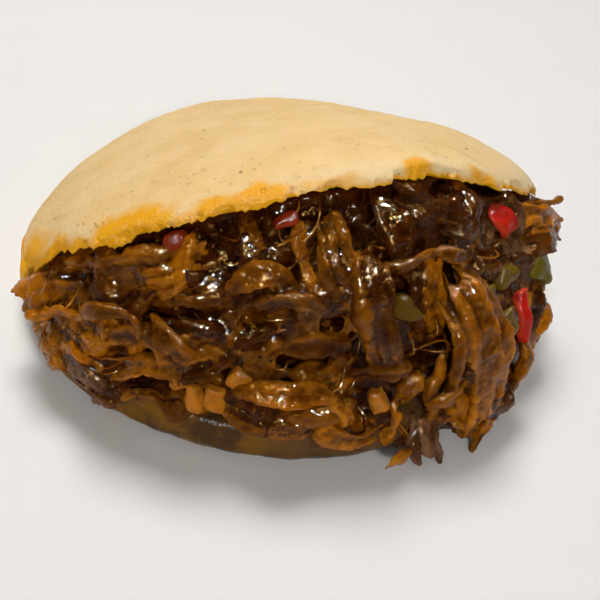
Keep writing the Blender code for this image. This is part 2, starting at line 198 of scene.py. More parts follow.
# The lights, in metres: where each stands, how wide it is, and what they all look at
LIGHT_AIM = (0, 0, 0.03)
KEY_PLACE, KEY_SIZE = (-0.10, 0.22, 0.80), 0.32
FILL_PLACE, FILL_SIZE = (0.10, -0.70, 0.55), 0.10
GLINT_PLACES, GLINT_SIZE = ((-0.25, -0.20, 0.70), (0.30, 0.10, 0.65), (0.0, -0.45, 0.60)), 0.05

# Shreds that stand out: (angle, height, mm above the heap) along each, width and depth in mm, tone
LANDMARKS = [
    ([(17.5, 0.73, -1), (20, 0.66, 4), (22, 0.47, 5), (23, 0.24, 4), (23.5, 0.01, 3), (18, -0.10, 8)],
     9.5, 4.5, 0.55),
    ([(15, 0.65, -1), (16.5, 0.51, 3), (17.5, 0.32, 3), (19, 0.11, -1)], 6.0, 3.2, 0.45),
    ([(19, 0.29, 2), (14, 0.23, 4), (12.5, 0.12, -1)], 3.4, 2.4, 0.9),
    ([(15, -0.03, -1), (10.5, -0.03, 3), (6, -0.05, 6), (2, -0.07, 9)], 2.4, 1.8, 1),
    ([(12.5, 0.10, -1), (12, 0.03, 2), (13.5, -0.13, 6)], 7.0, 2.4, -0.6),
    ([(-10, 0.12, -1), (-7.5, 0.08, 3), (-1.5, 0.02, 3), (4.5, 0.08, 2)], 5.5, 2.0, 0.7),
    ([(4.5, 0.08, 3), (4.5, 0.16, 4), (7, 0.20, -1)], 1.8, 1.6, 0.8),
    ([(33.5, 0.19, -1), (28, 0.16, 3), (25, 0.02, 3)], 5.5, 3.0, -0.5),
    ([(-26, 0.26, -1), (-21, 0.30, 4), (-14, 0.29, 4), (-8.5, 0.26, 4), (-5, 0.16, 3), (-6, 0.06, 1)],
     3.6, 2.6, 0.8),
    ([(-30.5, 0.17, -1), (-21.5, 0.10, 2), (-12.5, 0.08, 3), (-5, 0.07, -1)], 5.4, 3.0, 0.6),
    ([(-42.5, 0.58, -1), (-37, 0.52, 4), (-34.5, 0.45, 4), (-32, 0.33, -1)], 9.0, 2.6, 0.6),
    ([(-51.5, 0.19, -1), (-40.5, 0.34, 4), (-33.5, 0.33, 0)], 3.2, 2.4, 0.7),
    ([(-47, 0.10, -1), (-38.5, 0.10, 3), (-33.5, 0.03, 0)], 3.6, 2.4, 0.5),
    ([(-58.5, 0.52, -1), (-48, 0.68, 4), (-42.5, 0.64, 4), (-42.5, 0.46, -1)], 2.4, 2.2, 0.6),
    ([(-57.5, 0.76, -1), (-63.5, 0.70, 1.5), (-69.5, 0.58, 4)], 3.6, 2.6, 0.5),
    ([(-58, 0.58, -1), (-63.5, 0.55, 2), (-68, 0.47, 4)], 3.2, 2.4, 0.6),
    ([(-63.5, 0.23, -1), (-54.5, 0.21, 2), (-53, 0.00, -1)], 7.0, 3.2, -0.6),
    ([(-40, 0.57, -1), (-29, 0.56, 3), (-22, 0.45, -1)], 4.6, 2.6, 0.4),
    ([(-22.5, 0.59, -1), (-13, 0.68, 3), (-4, 0.52, -1)], 5.4, 2.8, 0.4),
    ([(-25.5, 0.61, -1), (-22, 0.76, 3), (-15, 0.77, 3), (-10.5, 0.63, -1)], 2.8, 2.4, 0.4),
    ([(-5.5, 0.92, -1), (-5, 0.78, 3), (-3.5, 0.52, -1)], 4.6, 2.8, 0.4),
    ([(-10, 0.92, -1), (-9, 0.68, 1)], 3.4, 2.4, 0.5),
    ([(2.5, 0.82, -1), (0, 0.70, 5), (1, 0.49, 4), (4, 0.29, -1)], 7.6, 4.0, 0.4),
    ([(3.5, 0.71, -1), (12, 0.77, 3), (27.5, 0.78, -1)], 3.6, 2.6, 0.6),
    ([(-20.5, 0.96, -1), (-18, 0.83, 1.5)], 4.4, 2.8, 0.8),
    ([(-65.5, 0.86, -1), (-46, 0.90, 2), (-33, 0.87, -1)], 5.0, 2.8, 0.45),
    ([(-55.5, 0.76, -1), (-39, 0.80, 2), (-23.5, 0.78, -1)], 4.8, 2.8, 0.45),
    ([(-40.5, 0.68, -1), (-29.5, 0.71, 2), (-21.5, 0.70, -1)], 4.0, 2.6, 0.4),
    ([(45, 0.92, -1), (52, 0.98, 3), (60, 1.00, 8)], 2.4, 2.0, 0.4),
    ([(40, 0.84, -1), (50, 0.90, 4), (62, 0.86, 6)], 8.0, 3.2, 0.8),
    ([(41.5, 0.77, -1), (48, 0.79, 4), (62, 0.74, 5)], 6.0, 3.0, 0.1),
    ([(8.5, 0.97, -1), (17, 0.94, 2), (30.5, 0.89, -1)], 6.5, 3.2, -0.3),
    ([(14, 0.86, -1), (19, 0.86, 2), (29, 0.81, -1)], 4.2, 2.8, -0.2),
    ([(35.5, 0.41, -1), (33, 0.26, 3), (31, 0.09, 0)], 4.2, 2.6, 0.4),
    ([(48, 0.42, -1), (48, 0.32, 3.5), (44, 0.19, 0)], 4.6, 2.6, 0.9),
    ([(-17, 0.43, -1), (-9, 0.46, 3), (-2, 0.40, -1)], 5.0, 2.8, 0.3),
    ([(-3, 0.30, -1), (3, 0.36, 2), (10, 0.32, -1)], 4.4, 3.0, 0.3),
    ([(-24, 0.40, -1), (-19, 0.50, 2), (-17, 0.58, -1)], 3.6, 2.6, 0.4),
]

# How the shreds lie at places on the heap: angle, height, lean in degrees up from level, tone. The tones
# are partly the sauce's own colour and partly painted light: lowered just under the upper half's rim as
# painted shade, and raised at the heap's left as painted light
LIES = [
    (-110, 0.5, 5, 0.3), (-85, 0.8, 5, 1.3), (-80, 0.3, 15, 1.0), (-60, 0.85, 4, 0.5),
    (-58, 0.5, 20, 0.8), (-58, 0.15, 30, 0.0), (-35, 0.9, -6, 0.45), (-35, 0.6, 10, 0.5),
    (-38, 0.3, 25, 0.6), (-30, 0.1, 0, 0.8), (-12, 0.85, 60, 0.2), (-14, 0.6, -20, 0.4),
    (-14, 0.35, 15, 0.2), (-12, 0.12, 10, 0.8), (0, 0.9, 75, 0.1), (2, 0.5, 85, 0.2),
    (4, 0.25, 60, 0.3), (5, 0.08, 20, 0.7), (15, 0.9, 10, -0.2), (18, 0.6, -60, 0.3),
    (22, 0.3, -75, 0.5), (30, 0.5, -80, 0.5), (32, 0.1, 85, 0.0), (35, 0.88, -10, -0.5),
    (45, 0.7, 20, -0.5), (45, 0.35, 80, 0.0), (52, 0.15, 60, 0.6), (65, 0.8, 10, 0.2),
    (70, 0.4, 30, -0.2), (95, 0.5, 10, 0.1), (120, 0.5, 5, 0.1),
]

# Cut vegetables: (angle, height, mm above the heap) along each, width and depth in mm, sauce on it, which
# on pieces just under the upper half's rim partly stands for painted shade
RED_PEPPERS = [
    ([(33, 0.85, 1.4), (39, 0.925, 1.4)], 8.5, 2.4, 0.1),
    ([(35, 0.59, 1.6), (34.5, 0.47, 2), (34, 0.34, 1.6)], 3.4, 2.4, 0),
    ([(-37.5, 0.925, 0.5), (-32.5, 0.930, 0.4)], 3.4, 2.2, 0.6),
    ([(-15.5, 0.935, 0.5), (-11, 0.935, 0.6)], 3.0, 2.0, 0.5),
]
GREEN_PEPPERS = [
    ([(43, 0.68, 1.6), (50, 0.58, 3.0)], 7.0, 3.0, 0.2),
    ([(29, 0.67, 1.2), (34.5, 0.66, 1.2)], 5.0, 2.4, 0.45),
    ([(25.5, 0.64, 1.8), (25.5, 0.55, 1.8)], 4.0, 2.4, 0.3),
    ([(29, 0.54, 1.8), (29.5, 0.41, 1.8)], 4.0, 2.4, 0.3),
    ([(5.5, 0.60, 1), (10.5, 0.56, 1)], 5.5, 2.4, 0.8),
]
ONIONS = [
    ([(-27.5, 0.26, 2), (-28.5, 0.10, 2)], 4.0, 3.0, 0.05),
    ([(-31.5, 0.25, 1.8), (-32.5, 0.10, 1.8)], 3.6, 3.0, 0),
    ([(-24.5, 0.27, 1.6), (-22, 0.35, 1.6)], 4.4, 3.0, 0.15),
    ([(1.5, 0.27, 1.6), (2, 0.16, 1.6)], 4.0, 3.0, 0.1),
    ([(-68, 0.17, 1.4), (-64.5, 0.29, 1.4)], 4.0, 3.0, 0.3),
]

# Each kind of vegetable: its pieces, the setting of its colour, how rough its skin is, its glow, the
# colour of its flesh and how square its cuts are
VEGETABLES = (
    ("red_pepper", RED_PEPPERS, "red", 0.22, 0.25, (0.60, 0.06, 0.02), 3.6),
    ("green_pepper", GREEN_PEPPERS, "green", 0.25, 0.25, (0.20, 0.15, 0.01), 3.6),
    ("onion", ONIONS, "onion", 0.20, 0.45, (0.58, 0.23, 0.012), 4.0),
)

# Sauce soaked into the upper half's crust near its rim: angle, spread in degrees, depth in mm, strength
RIM_STAINS = [
    (-80, 9, 5, 1.0), (-68, 8, 3, 0.9), (-57, 7, 2.5, 0.7), (-47, 6, 4.5, 1.0), (-40, 6, 5, 1.0),
    (-31, 5, 2, 0.6), (-24, 6, 3.2, 1.0), (-17, 5, 2.5, 0.9), (-5, 6, 1.2, 0.5), (13, 3, 1.6, 1.0),
    (30, 4, 1.6, 0.7),
]


class BreadSettings(bpy.types.PropertyGroup):
    crust: FloatVectorProperty(
        name="Crust", description="Colour of the griddled crust", subtype="COLOR", size=3,
        min=0, max=1, default=(0.86, 0.60, 0.285))
    toasted: FloatVectorProperty(
        name="Toasted", description="Colour of the crust where it is browned", subtype="COLOR", size=3,
        min=0, max=1, default=(0.76, 0.45, 0.15))
    # The stain's colour is a little brighter than the sauce's own: painted light near the rim
    stain: FloatVectorProperty(
        name="Stain", description="Colour of sauce soaked into the crust", subtype="COLOR", size=3,
        min=0, max=1, default=(0.86, 0.39, 0.002))
    soaked: FloatVectorProperty(
        name="Soaked", description="Colour of the lower half where sauce has soaked it", subtype="COLOR",
        size=3, min=0, max=1, default=(0.125, 0.058, 0.018))
    pore_depth: FloatProperty(
        name="Pore depth", description="Depth of the pores in the crust",
        subtype="DISTANCE", unit="LENGTH", min=0, default=0.36 * MM)
    ragged: FloatProperty(
        name="Ragged rim", description="How far the torn rim wanders in and out", subtype="DISTANCE",
        unit="LENGTH", min=0, default=1.1 * MM)


class BeefSettings(bpy.types.PropertyGroup):
    sauce: FloatVectorProperty(
        name="Sauce", description="Colour of thick sauce over the beef", subtype="COLOR", size=3,
        min=0, max=1, default=(0.074, 0.0150, 0.0002))
    amber: FloatVectorProperty(
        name="Amber", description="Colour of thin shreds stained by the sauce", subtype="COLOR", size=3,
        min=0, max=1, default=(0.54, 0.182, 0.002))
    meat: FloatVectorProperty(
        name="Meat", description="Colour of beef with little sauce on it", subtype="COLOR", size=3,
        min=0, max=1, default=(0.25, 0.12, 0.055))
    shreds: IntProperty(
        name="Shreds", description="Number of shreds in the body of the heap", min=50, default=340)
    loose_shreds: IntProperty(
        name="Loose shreds", description="Number of crisp shreds that lie on the heap",
        min=10, default=70)
    fibres: IntProperty(
        name="Fibres", description="Number of single fibres that lie on the heap", min=10, default=420)
    voxel: FloatProperty(
        name="Sauce fillet", description="Cell size at which the shreds are merged by the sauce",
        subtype="DISTANCE", unit="LENGTH", min=0.3 * MM, default=0.62 * MM)


class VegetableSettings(bpy.types.PropertyGroup):
    red: FloatVectorProperty(
        name="Red pepper", description="Colour of the red pepper", subtype="COLOR", size=3,
        min=0, max=1, default=(0.52, 0.012, 0.004))
    green: FloatVectorProperty(
        name="Green pepper", description="Colour of the green pepper", subtype="COLOR", size=3,
        min=0, max=1, default=(0.13, 0.105, 0.003))
    onion: FloatVectorProperty(
        name="Onion", description="Colour of the onion under its sauce", subtype="COLOR", size=3,
        min=0, max=1, default=(0.54, 0.19, 0.008))


class StageSettings(bpy.types.PropertyGroup):
    floor: FloatVectorProperty(
        name="Floor", description="Colour of the floor", subtype="COLOR", size=3,
        min=0, max=1, default=(0.80, 0.78, 0.76))
    key_power: FloatProperty(
        name="Key light", description="Power of the soft light above and behind", subtype="POWER",
        unit="POWER", min=0, default=5.4)
    fill_power: FloatProperty(
        name="Fill light", description="Power of the soft light in front", subtype="POWER",
        unit="POWER", min=0, default=2.6)
    glint_power: FloatProperty(
        name="Glints", description="Power of each small light that only glints in the sauce",
        subtype="POWER", unit="POWER", min=0, default=20.0)


def around(table, angle):
    """Reads a table of values at every 30 degrees, smoothly and all the way round."""
    place = (np.asarray(angle, float) + math.pi) / TABLE_STEP
    first = np.floor(place).astype(int)
    part = place - first
    values = np.asarray(table, float)
    return smooth_between(part, *(values[(first + k) % len(values)] for k in (-1, 0, 1, 2)))


def smooth_between(part, before, here, after, beyond):
    """Reads a smooth curve a part of the way from here to after, by the values round them."""
    curve = part * (3 * (here - after) + beyond - before) + 2 * before - 5 * here + 4 * after - beyond
    return here + 0.5 * part * (after - before + part * curve)


def smooth_step(value):
    value = np.clip(value, 0, 1)
    return value * value * (3 - 2 * value)


def ramp(value, start, width):
    """Goes smoothly from 0 at the start to 1 at a width beyond it."""
    return smooth_step((value - start) / width)


def bell(value, middle, spread, power=2):
    """Is 1 at the middle and falls smoothly to nothing within a few spreads."""
    return np.exp(-((value - middle) / spread) ** power)


def unit(vectors):
    return vectors / np.maximum(np.linalg.norm(vectors, axis=-1, keepdims=True), 1e-12)


# Random values from -1 to 1 at the corners of cells, which grain reads smoothly between
LATTICE = np.random.default_rng(11).random((48, 48, 48)) * 2 - 1


def grain(places, length, shift=0.0):
    """Smooth noise between -1 and 1 whose bumps are about as long as length."""
    spot = np.asarray(places) / length + shift * 7.31
    cell = np.floor(spot).astype(int)
    part = spot - cell
    part = part * part * (3 - 2 * part)
    total = 0.0
    for corner in np.ndindex(2, 2, 2):
        share = np.prod(np.where(corner, part, 1 - part), axis=-1)
        index = (cell + corner) % len(LATTICE)
        total = total + share * LATTICE[index[..., 0], index[..., 1], index[..., 2]]
    return total


def grains(places, *layers):
    """Adds up layers of noise, each given by its size, the length of its bumps in mm and its shift."""
    return sum(size * grain(places, length * MM, shift) for size, length, shift in layers)


def bottom_outline(angle, grow=0.0):
    """The edge of the lower half, or of a round grown or shrunk from it."""
    uneven = 1 + LOBES * np.sin(3 * angle + 0.6) + RIPPLES * np.cos(5 * angle)
    deep = BOTTOM_DEEP - BACK_TRIM * (1 - np.cos(angle)) / 2
    x = (BOTTOM_WIDE + grow) * np.sin(angle) * uneven
    y = -(deep + grow) * np.cos(angle) * uneven
    return np.stack([x, y, np.zeros_like(x)], axis=-1)


def cut_height(places):
    """The lower half's thickness: thin at the hinge, full towards the front."""
    rise = smooth_step((BOTTOM_DEEP - places[..., 1]) / THICKENING_LENGTH)
    return BACK_THICKNESS + (FRONT_THICKNESS - BACK_THICKNESS) * rise


def rim_wave(angle):
    degrees = np.degrees(angle)
    return sum(rise * bell(degrees, middle, spread) for middle, spread, rise in RIM_WAVES) * MM


def top_place(reach, angle, lift):
    """A point of the upper half: reach 0 to 1 from its middle to its rim, lift above its cut face."""
    along = TOP_DEEP * (1 + reach * np.cos(angle))
    side = reach * np.sin(angle)
    lift = lift + rim_wave(angle) * ramp(reach, 0.75, 0.25)
    lift = lift - SIDE_DROOP * side ** 2 * (1 - DROOP_EASE * side ** 2)
    back = lift * math.sin(TILT) - along * math.cos(TILT)
    rise = along * math.sin(TILT) + lift * math.cos(TILT)
    return HINGE + np.stack([TOP_WIDE * side, back, rise], axis=-1)


def crust_height(reach):
    """How thick the upper half is: a lip at its rim, a round shoulder and a slight crown."""
    shoulder = np.clip((reach - CRUST_SHOULDER) / (1 - CRUST_SHOULDER), 0, 1)
    return LIP + CRUST_HEIGHT * np.sqrt(1 - shoulder ** 2) + CROWN * (1 - reach ** 2)


def outward(angle):
    """The direction in which the heap bulges: outwards and a little up."""
    return unit(np.stack([np.sin(angle), -np.cos(angle), UPWARD + 0 * angle], axis=-1))


def heap(angle, height, out=0.0):
    """A point of the heap's bare surface, or out from it."""
    foot = bottom_outline(angle, around(SPILL, angle) * MM)
    foot[..., 2] = around(FOOT_HEIGHT, angle) * MM
    head = top_place(around(HEAD_REACH, angle), angle, -HEAD_GAP)
    away = outward(angle)
    belly = (foot + head) / 2 + away * (around(BULGE, angle) * MM)[..., None]
    rise = np.asarray(height)[..., None]
    low = 1 - rise
    surface = foot * low * low + belly * 2 * rise * low + head * rise * rise
    return surface + away * np.asarray(out)[..., None]


def left_end(degrees):
    """Goes from 0 to 1 at the heap's left end, where it draws back."""
    return smooth_step((LEFT_END_ANGLE - degrees) / LEFT_END_FADE)


def heap_out(angle, height):
    """The direction out of the heap."""
    step = 0.02
    along = heap(angle + step, height) - heap(angle - step, height)
    up = heap(angle, height + step) - heap(angle, height - step)
    return unit(np.cross(along, up))


def mouth_turned(places):
    """X and Y of places, turned so that the mouth points where the frame has it."""
    c, s = math.cos(MOUTH_TURN), math.sin(MOUTH_TURN)
    x, y = places[..., 0], places[..., 1]
    return x * c - y * s, x * s + y * c


def rig_place():
    """Where the model's middle stands, from the lower half's box in the frame."""
    low, high = (Vector(corner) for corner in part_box("arepa_bottom"))
    x, y = mouth_turned(bottom_outline(np.radians(np.arange(-180, 180, 6.0))))
    middle = Vector(((x.min() + x.max()) / 2, (y.min() + y.max()) / 2, 0))
    place = (low + high) / 2 - middle
    place.z = 0
    return place


RIG = rig_place()


def in_frame(places):
    """Turns places about the heap's own middle into the frame's."""
    x, y = mouth_turned(places)
    return np.stack([x + RIG.x, y + RIG.y, places[..., 2]], axis=-1)


def coordinates(mesh):
    places = np.empty(len(mesh.vertices) * 3)
    mesh.vertices.foreach_get("co", places)
    return places.reshape(-1, 3)


def set_coordinates(mesh, places):
    mesh.vertices.foreach_set("co", np.ascontiguousarray(places, float).ravel())
    mesh.update()


def set_attribute(mesh, name, values):
    layer = mesh.attributes.get(name) or mesh.attributes.new(name, "FLOAT", "POINT")
    layer.data.foreach_set("value", np.ascontiguousarray(values, float))


def mesh_of(name, bm):
    """Turns a bmesh into a mesh and frees it."""
    mesh = bpy.data.meshes.new(name)
    bm.to_mesh(mesh)
    bm.free()
    return mesh


def piece_of(name, mesh, finish, slot, *nodes):
    """Adds a finished piece that rides on the body and stands for the nodes named."""
    for polygon in mesh.polygons:
        polygon.use_smooth = True
    mesh.materials.clear()
    mesh.materials.append(finish)
    piece = bpy.data.objects.new(name, mesh)
    bpy.context.scene.collection.objects.link(piece)
    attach(piece, "root")
    if nodes:
        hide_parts(*nodes)
    return piece


def lathe(section, steps):
    """Turns a half section of (reach, level) points into a closed round."""
    bm = bmesh.new()
    line = [bm.verts.new((reach, 0, level)) for reach, level in section]
    edges = [bm.edges.new(pair) for pair in zip(line, line[1:])]
    bmesh.ops.spin(bm, geom=line + edges, cent=(0, 0, 0), axis=(0, 0, 1),
                   angle=2 * math.pi, steps=steps, use_merge=True)
    bmesh.ops.remove_doubles(bm, verts=bm.verts, dist=1e-6)
    bm.normal_update()
    bmesh.ops.recalc_face_normals(bm, faces=bm.faces)
    return bm


def lathe_readings(mesh):
    """The angle, reach and level of each vertex of a lathed round."""
    places = coordinates(mesh)
    angle = np.arctan2(places[:, 0], -places[:, 1])
    return angle, np.minimum(np.hypot(places[:, 0], places[:, 1]), 1.0), places[:, 2]


def strip_template(rings, sides):
    """A tube of unit size, with each vertex's ring and side."""
    bm = bmesh.new()
    bmesh.ops.create_cone(bm, cap_ends=True, segments=sides, radius1=1, radius2=1, depth=1)
    long_edges = [edge for edge in bm.edges if abs(edge.verts[0].co.z - edge.verts[1].co.z) > 0.5]
    bmesh.ops.subdivide_edges(bm, edges=long_edges, cuts=rings - 2)
    template = mesh_of("strip_template", bm)
    places = coordinates(template)
    ring = np.rint((places[:, 2] + 0.5) * (rings - 1)).astype(int)
    side = np.rint(np.arctan2(places[:, 1], places[:, 0]) / (2 * math.pi / sides)).astype(int) % sides
    return template, ring, side


def copies_of(template, count, name):
    """One mesh with many copies of a template, one after the other."""
    bm = bmesh.new()
    for _ in range(count):
        bm.from_mesh(template)
    return mesh_of(name, bm)


def smooth_routes(routes, rings):
    """Reads each route of any number of points at the same number of rings, on a smooth curve."""
    readings = np.empty((len(routes), rings, 3))
    for number, route in enumerate(routes):
        points = np.asarray(route, float)
        points = np.vstack([2 * points[0] - points[1], points, 2 * points[-1] - points[-2]])
        place = np.linspace(0, len(points) - 3, rings)
        first = np.minimum(place.astype(int), len(points) - 4)
        part = (place - first)[:, None]
        readings[number] = smooth_between(part, *(points[first + k] for k in range(4)))
    return readings


def strip_mesh(name, routes, widths, depths, tones, rings, sides, seed, rough, taper=0.6):
    """Flat strips of fibres along routes on the heap, joined in one mesh with its fibre readings."""
    draw = np.random.default_rng(seed)
    count = len(routes)
    readings = smooth_routes(routes, rings)
    angle, height = np.radians(readings[..., 0]), readings[..., 1]
    centre = heap(angle, height, readings[..., 2] * MM)
    part = np.linspace(0, 1, rings)[None, :]
    wander = np.stack([grain(centre, WANDER_LENGTH * MM, shift) for shift in (1, 2, 3)], axis=-1)
    centre = centre + wander * rough * WANDER * MM * np.sin(math.pi * part)[..., None]
    ahead = unit(np.gradient(centre, axis=1))
    away = heap_out(angle, height)
    side = unit(np.cross(away, ahead))
    away = np.cross(ahead, side)
    turn = draw.normal(0, TWIST, (count, 1)) + draw.normal(0, TWIST * 1.6, (count, 1)) * (part - 0.5)
    side, away = (side * np.cos(turn)[..., None] + away * np.sin(turn)[..., None],
                  away * np.cos(turn)[..., None] - side * np.sin(turn)[..., None])
    end = np.abs(2 * part - 1)
    waves = np.sin(part * draw.uniform(4, 11, (count, 1)) + draw.uniform(0, 6, (count, 1)))
    narrow = (1 - taper * end ** 3) * (1 + rough * 0.5 * waves)
    half_width = np.asarray(widths)[:, None] * MM / 2 * narrow
    half_depth = np.asarray(depths)[:, None] * MM / 2 * narrow
    around_strip = np.linspace(0, 2 * math.pi, sides, endpoint=False)[None, None, :]
    ridges = draw.integers(3, 6, (count, 1, 1))
    phase = draw.uniform(0, 6, (count, 1, 1))
    phase = phase + 2.0 * np.sin(part * 5 + draw.uniform(0, 6, (count, 1)))[..., None]
    ridge = 1 + rough * 0.45 * np.sin(ridges * around_strip + phase)
    across = np.cos(around_strip) * half_width[..., None] * ridge
    over = np.sin(around_strip) * half_depth[..., None] * ridge
    places = centre[:, :, None, :] + side[:, :, None, :] * across[..., None]
    places = places + away[:, :, None, :] * over[..., None]
    places[..., 2] = np.maximum(places[..., 2], LOWEST * MM)
    steps = np.linalg.norm(np.diff(centre, axis=1), axis=-1)
    run = np.concatenate([np.zeros((count, 1)), np.cumsum(steps, axis=1)], axis=1)
    girth = around_strip * np.mean(half_width, axis=1)[:, None, None]
    template, ring, index = strip_template(rings, sides)
    mesh = copies_of(template, count, name)
    bpy.data.meshes.remove(template)
    set_coordinates(mesh, in_frame(places[:, ring, index, :].reshape(-1, 3)))

    def spread_out(values):
        return np.broadcast_to(values, places.shape[:3])[:, ring, index].ravel() / MM

    set_attribute(mesh, "across", spread_out(girth) + np.repeat(draw.uniform(0, 40, count), len(ring)))
    set_attribute(mesh, "along", spread_out(run[..., None]))
    set_attribute(mesh, "tone", np.repeat(np.asarray(tones, float), len(ring)))
    return mesh


def lie_of(angle, height):
    """The prevailing lean and tone at places on the heap, blended from the nearest known ones."""
    spots = np.asarray(LIES, float)
    gap = ((angle[:, None] - spots[:, 0]) / LIE_REACH[0]) ** 2
    gap = gap + ((height[:, None] - spots[:, 1]) / LIE_REACH[1]) ** 2
    share = np.exp(-gap) + 1e-9
    share /= share.sum(axis=1, keepdims=True)
    double = np.radians(2 * spots[:, 2])
    lean = np.arctan2(share @ np.sin(double), share @ np.cos(double)) / 2
    return lean, share @ spots[:, 3]


def split_in_strands(routes, widths, depths, tones, seed):
    """Splits each shred into strands of fibres, side by side, crowned and uneven at the ends."""
    draw = np.random.default_rng(seed)
    strands, strand_widths, strand_depths, strand_tones = [], [], [], []
    part = np.linspace(-1, 1, STRAND_STOPS)
    last = STRAND_STOPS - 1
    for route, width, depth, tone in zip(routes, widths, depths, tones):
        points = smooth_routes([route], STRAND_STOPS)[0]
        ahead = unit(np.gradient(points[:, :2] * (MM_PER_DEGREE, MM_PER_HEIGHT), axis=0))
        across = np.stack([-ahead[:, 1], ahead[:, 0]], axis=-1) / (MM_PER_DEGREE, MM_PER_HEIGHT)
        count = max(1, round(width / STRAND_WIDTH))
        lean = draw.normal(0, 0.10, 2) * width
        splay = lean[0] * np.maximum(part, 0) ** 2, lean[1] * np.maximum(-part, 0) ** 2
        for number in range(count):
            offset = (number - (count - 1) / 2) * width / count
            shift = offset * (1 + draw.uniform(-0.25, 0.35) * part ** 2)
            shift = shift + draw.normal(0, 0.25) * part + draw.normal(0, 0.35) * part ** 2
            line = points.copy()
            line[:, :2] += across * (shift + splay[0] + splay[1])[:, None]
            line[:, 2] += draw.normal(0, 0.3) - 0.28 * depth * (2 * offset / width) ** 2
            first = draw.uniform(0, 0.9) if count > 1 else 0
            stops = np.linspace(first, last - (draw.uniform(0, 0.9) if count > 1 else 0), STRAND_STOPS)
            strands.append([tuple(np.interp(stop, range(STRAND_STOPS), line[:, k]) for k in range(3))
                            for stop in stops])
            strand_widths.append(width / count * draw.uniform(1.15, 1.7))
            strand_depths.append(depth * draw.uniform(0.65, 0.95))
            strand_tones.append(tone + draw.normal(0, 0.16))
    return strands, np.array(strand_widths), np.array(strand_depths), np.array(strand_tones)


def scattered_routes(count, seed, length, out, disorder):
    """Routes of shreds laid over the heap by a seeded draw, each turned the way its neighbours lie.

    Lengths and how far out they lie are in mm, and disorder is how far they turn away, in radians.
    """
    draw = np.random.default_rng(seed)
    angle = draw.uniform(*SHRED_ANGLES, count)
    height = draw.uniform(*SHRED_HEIGHTS, count)
    lean, tone = lie_of(angle, height)
    lean = lean + draw.normal(0, disorder, count)
    half = draw.uniform(*length, count) / 2
    run = half * np.cos(lean) / MM_PER_DEGREE
    rise = half * np.sin(lean) / MM_PER_HEIGHT
    bend = draw.normal(0, 0.035, count)
    lift = draw.uniform(*out, count) - LEFT_END_INSET * left_end(angle)
    routes = []
    for a, h, r, u, b, o in zip(angle, height, run, rise, bend, lift):
        lifts = (o - draw.uniform(0.8, 2.4), o, o + draw.uniform(-0.5, 0.5), o - draw.uniform(0.4, 2.4))
        routes.append([(a + r * t, min(max(h + u * t + b * (1 - t * t), 0.01), 0.985), lift_here)
                       for t, lift_here in zip((-1.0, -0.4, 0.4, 1.0), lifts)])
    return routes, tone + draw.normal(0, 0.22, count)


def join(tree, kind, feeds=(), **settings):
    """Adds a shader node, sets its options and fills its inputs from sockets or values."""
    node = tree.nodes.new("ShaderNode" + kind)
    for name, value in settings.items():
        setattr(node, name, value)
    for socket, value in dict(feeds).items():
        if isinstance(value, bpy.types.NodeSocket):
            tree.links.new(value, node.inputs[socket])
        else:
            node.inputs[socket].default_value = value
    return node


def colour(value):
    return (*value[:3], 1.0)


def mix(tree, share, first, second, blend="MIX"):
    feeds = {0: share}
    feeds[6] = first if isinstance(first, bpy.types.NodeSocket) else colour(first)
    feeds[7] = second if isinstance(second, bpy.types.NodeSocket) else colour(second)
    return join(tree, "Mix", feeds, data_type="RGBA", blend_type=blend, clamp_factor=True).outputs[2]


def maths(tree, operation, first, second=0.0, third=0.0):
    return join(tree, "Math", {0: first, 1: second, 2: third}, operation=operation).outputs[0]


def fade(tree, value, low, high, start=0.0, end=1.0):
    """Turns a value into start at low and end at high, smoothly."""
    feeds = {"Value": value, "From Min": low, "From Max": high, "To Min": start, "To Max": end}
    return join(tree, "MapRange", feeds, interpolation_type="SMOOTHSTEP").outputs[0]


def noise(tree, where, scale, detail=2.0, roughness=0.5, distortion=0.0):
    """Noise with about as many bumps to the metre as its scale says."""
    feeds = {"Vector": where, "Scale": scale, "Detail": detail, "Roughness": roughness}
    return join(tree, "TexNoise", {**feeds, "Distortion": distortion}).outputs[0]


def pits(tree, where, scale):
    """Distances from scattered points, about as many to the metre as the scale says."""
    return join(tree, "TexVoronoi", {"Vector": where, "Scale": scale}).outputs["Distance"]


def reading(tree, name):
    return join(tree, "Attribute", attribute_name=name).outputs["Fac"]


def object_place(tree):
    return join(tree, "TexCoord").outputs["Object"]


def new_group(name, inputs, outputs):
    """Starts a shared effect: a shader node group with named inputs and outputs."""
    group = bpy.data.node_groups.new(name, "ShaderNodeTree")
    for label, kind in inputs:
        group.interface.new_socket(name=label, in_out="INPUT", socket_type="NodeSocket" + kind)
    for label in outputs:
        group.interface.new_socket(name=label, in_out="OUTPUT", socket_type="NodeSocketFloat")
    return group, group.nodes.new("NodeGroupInput"), group.nodes.new("NodeGroupOutput")


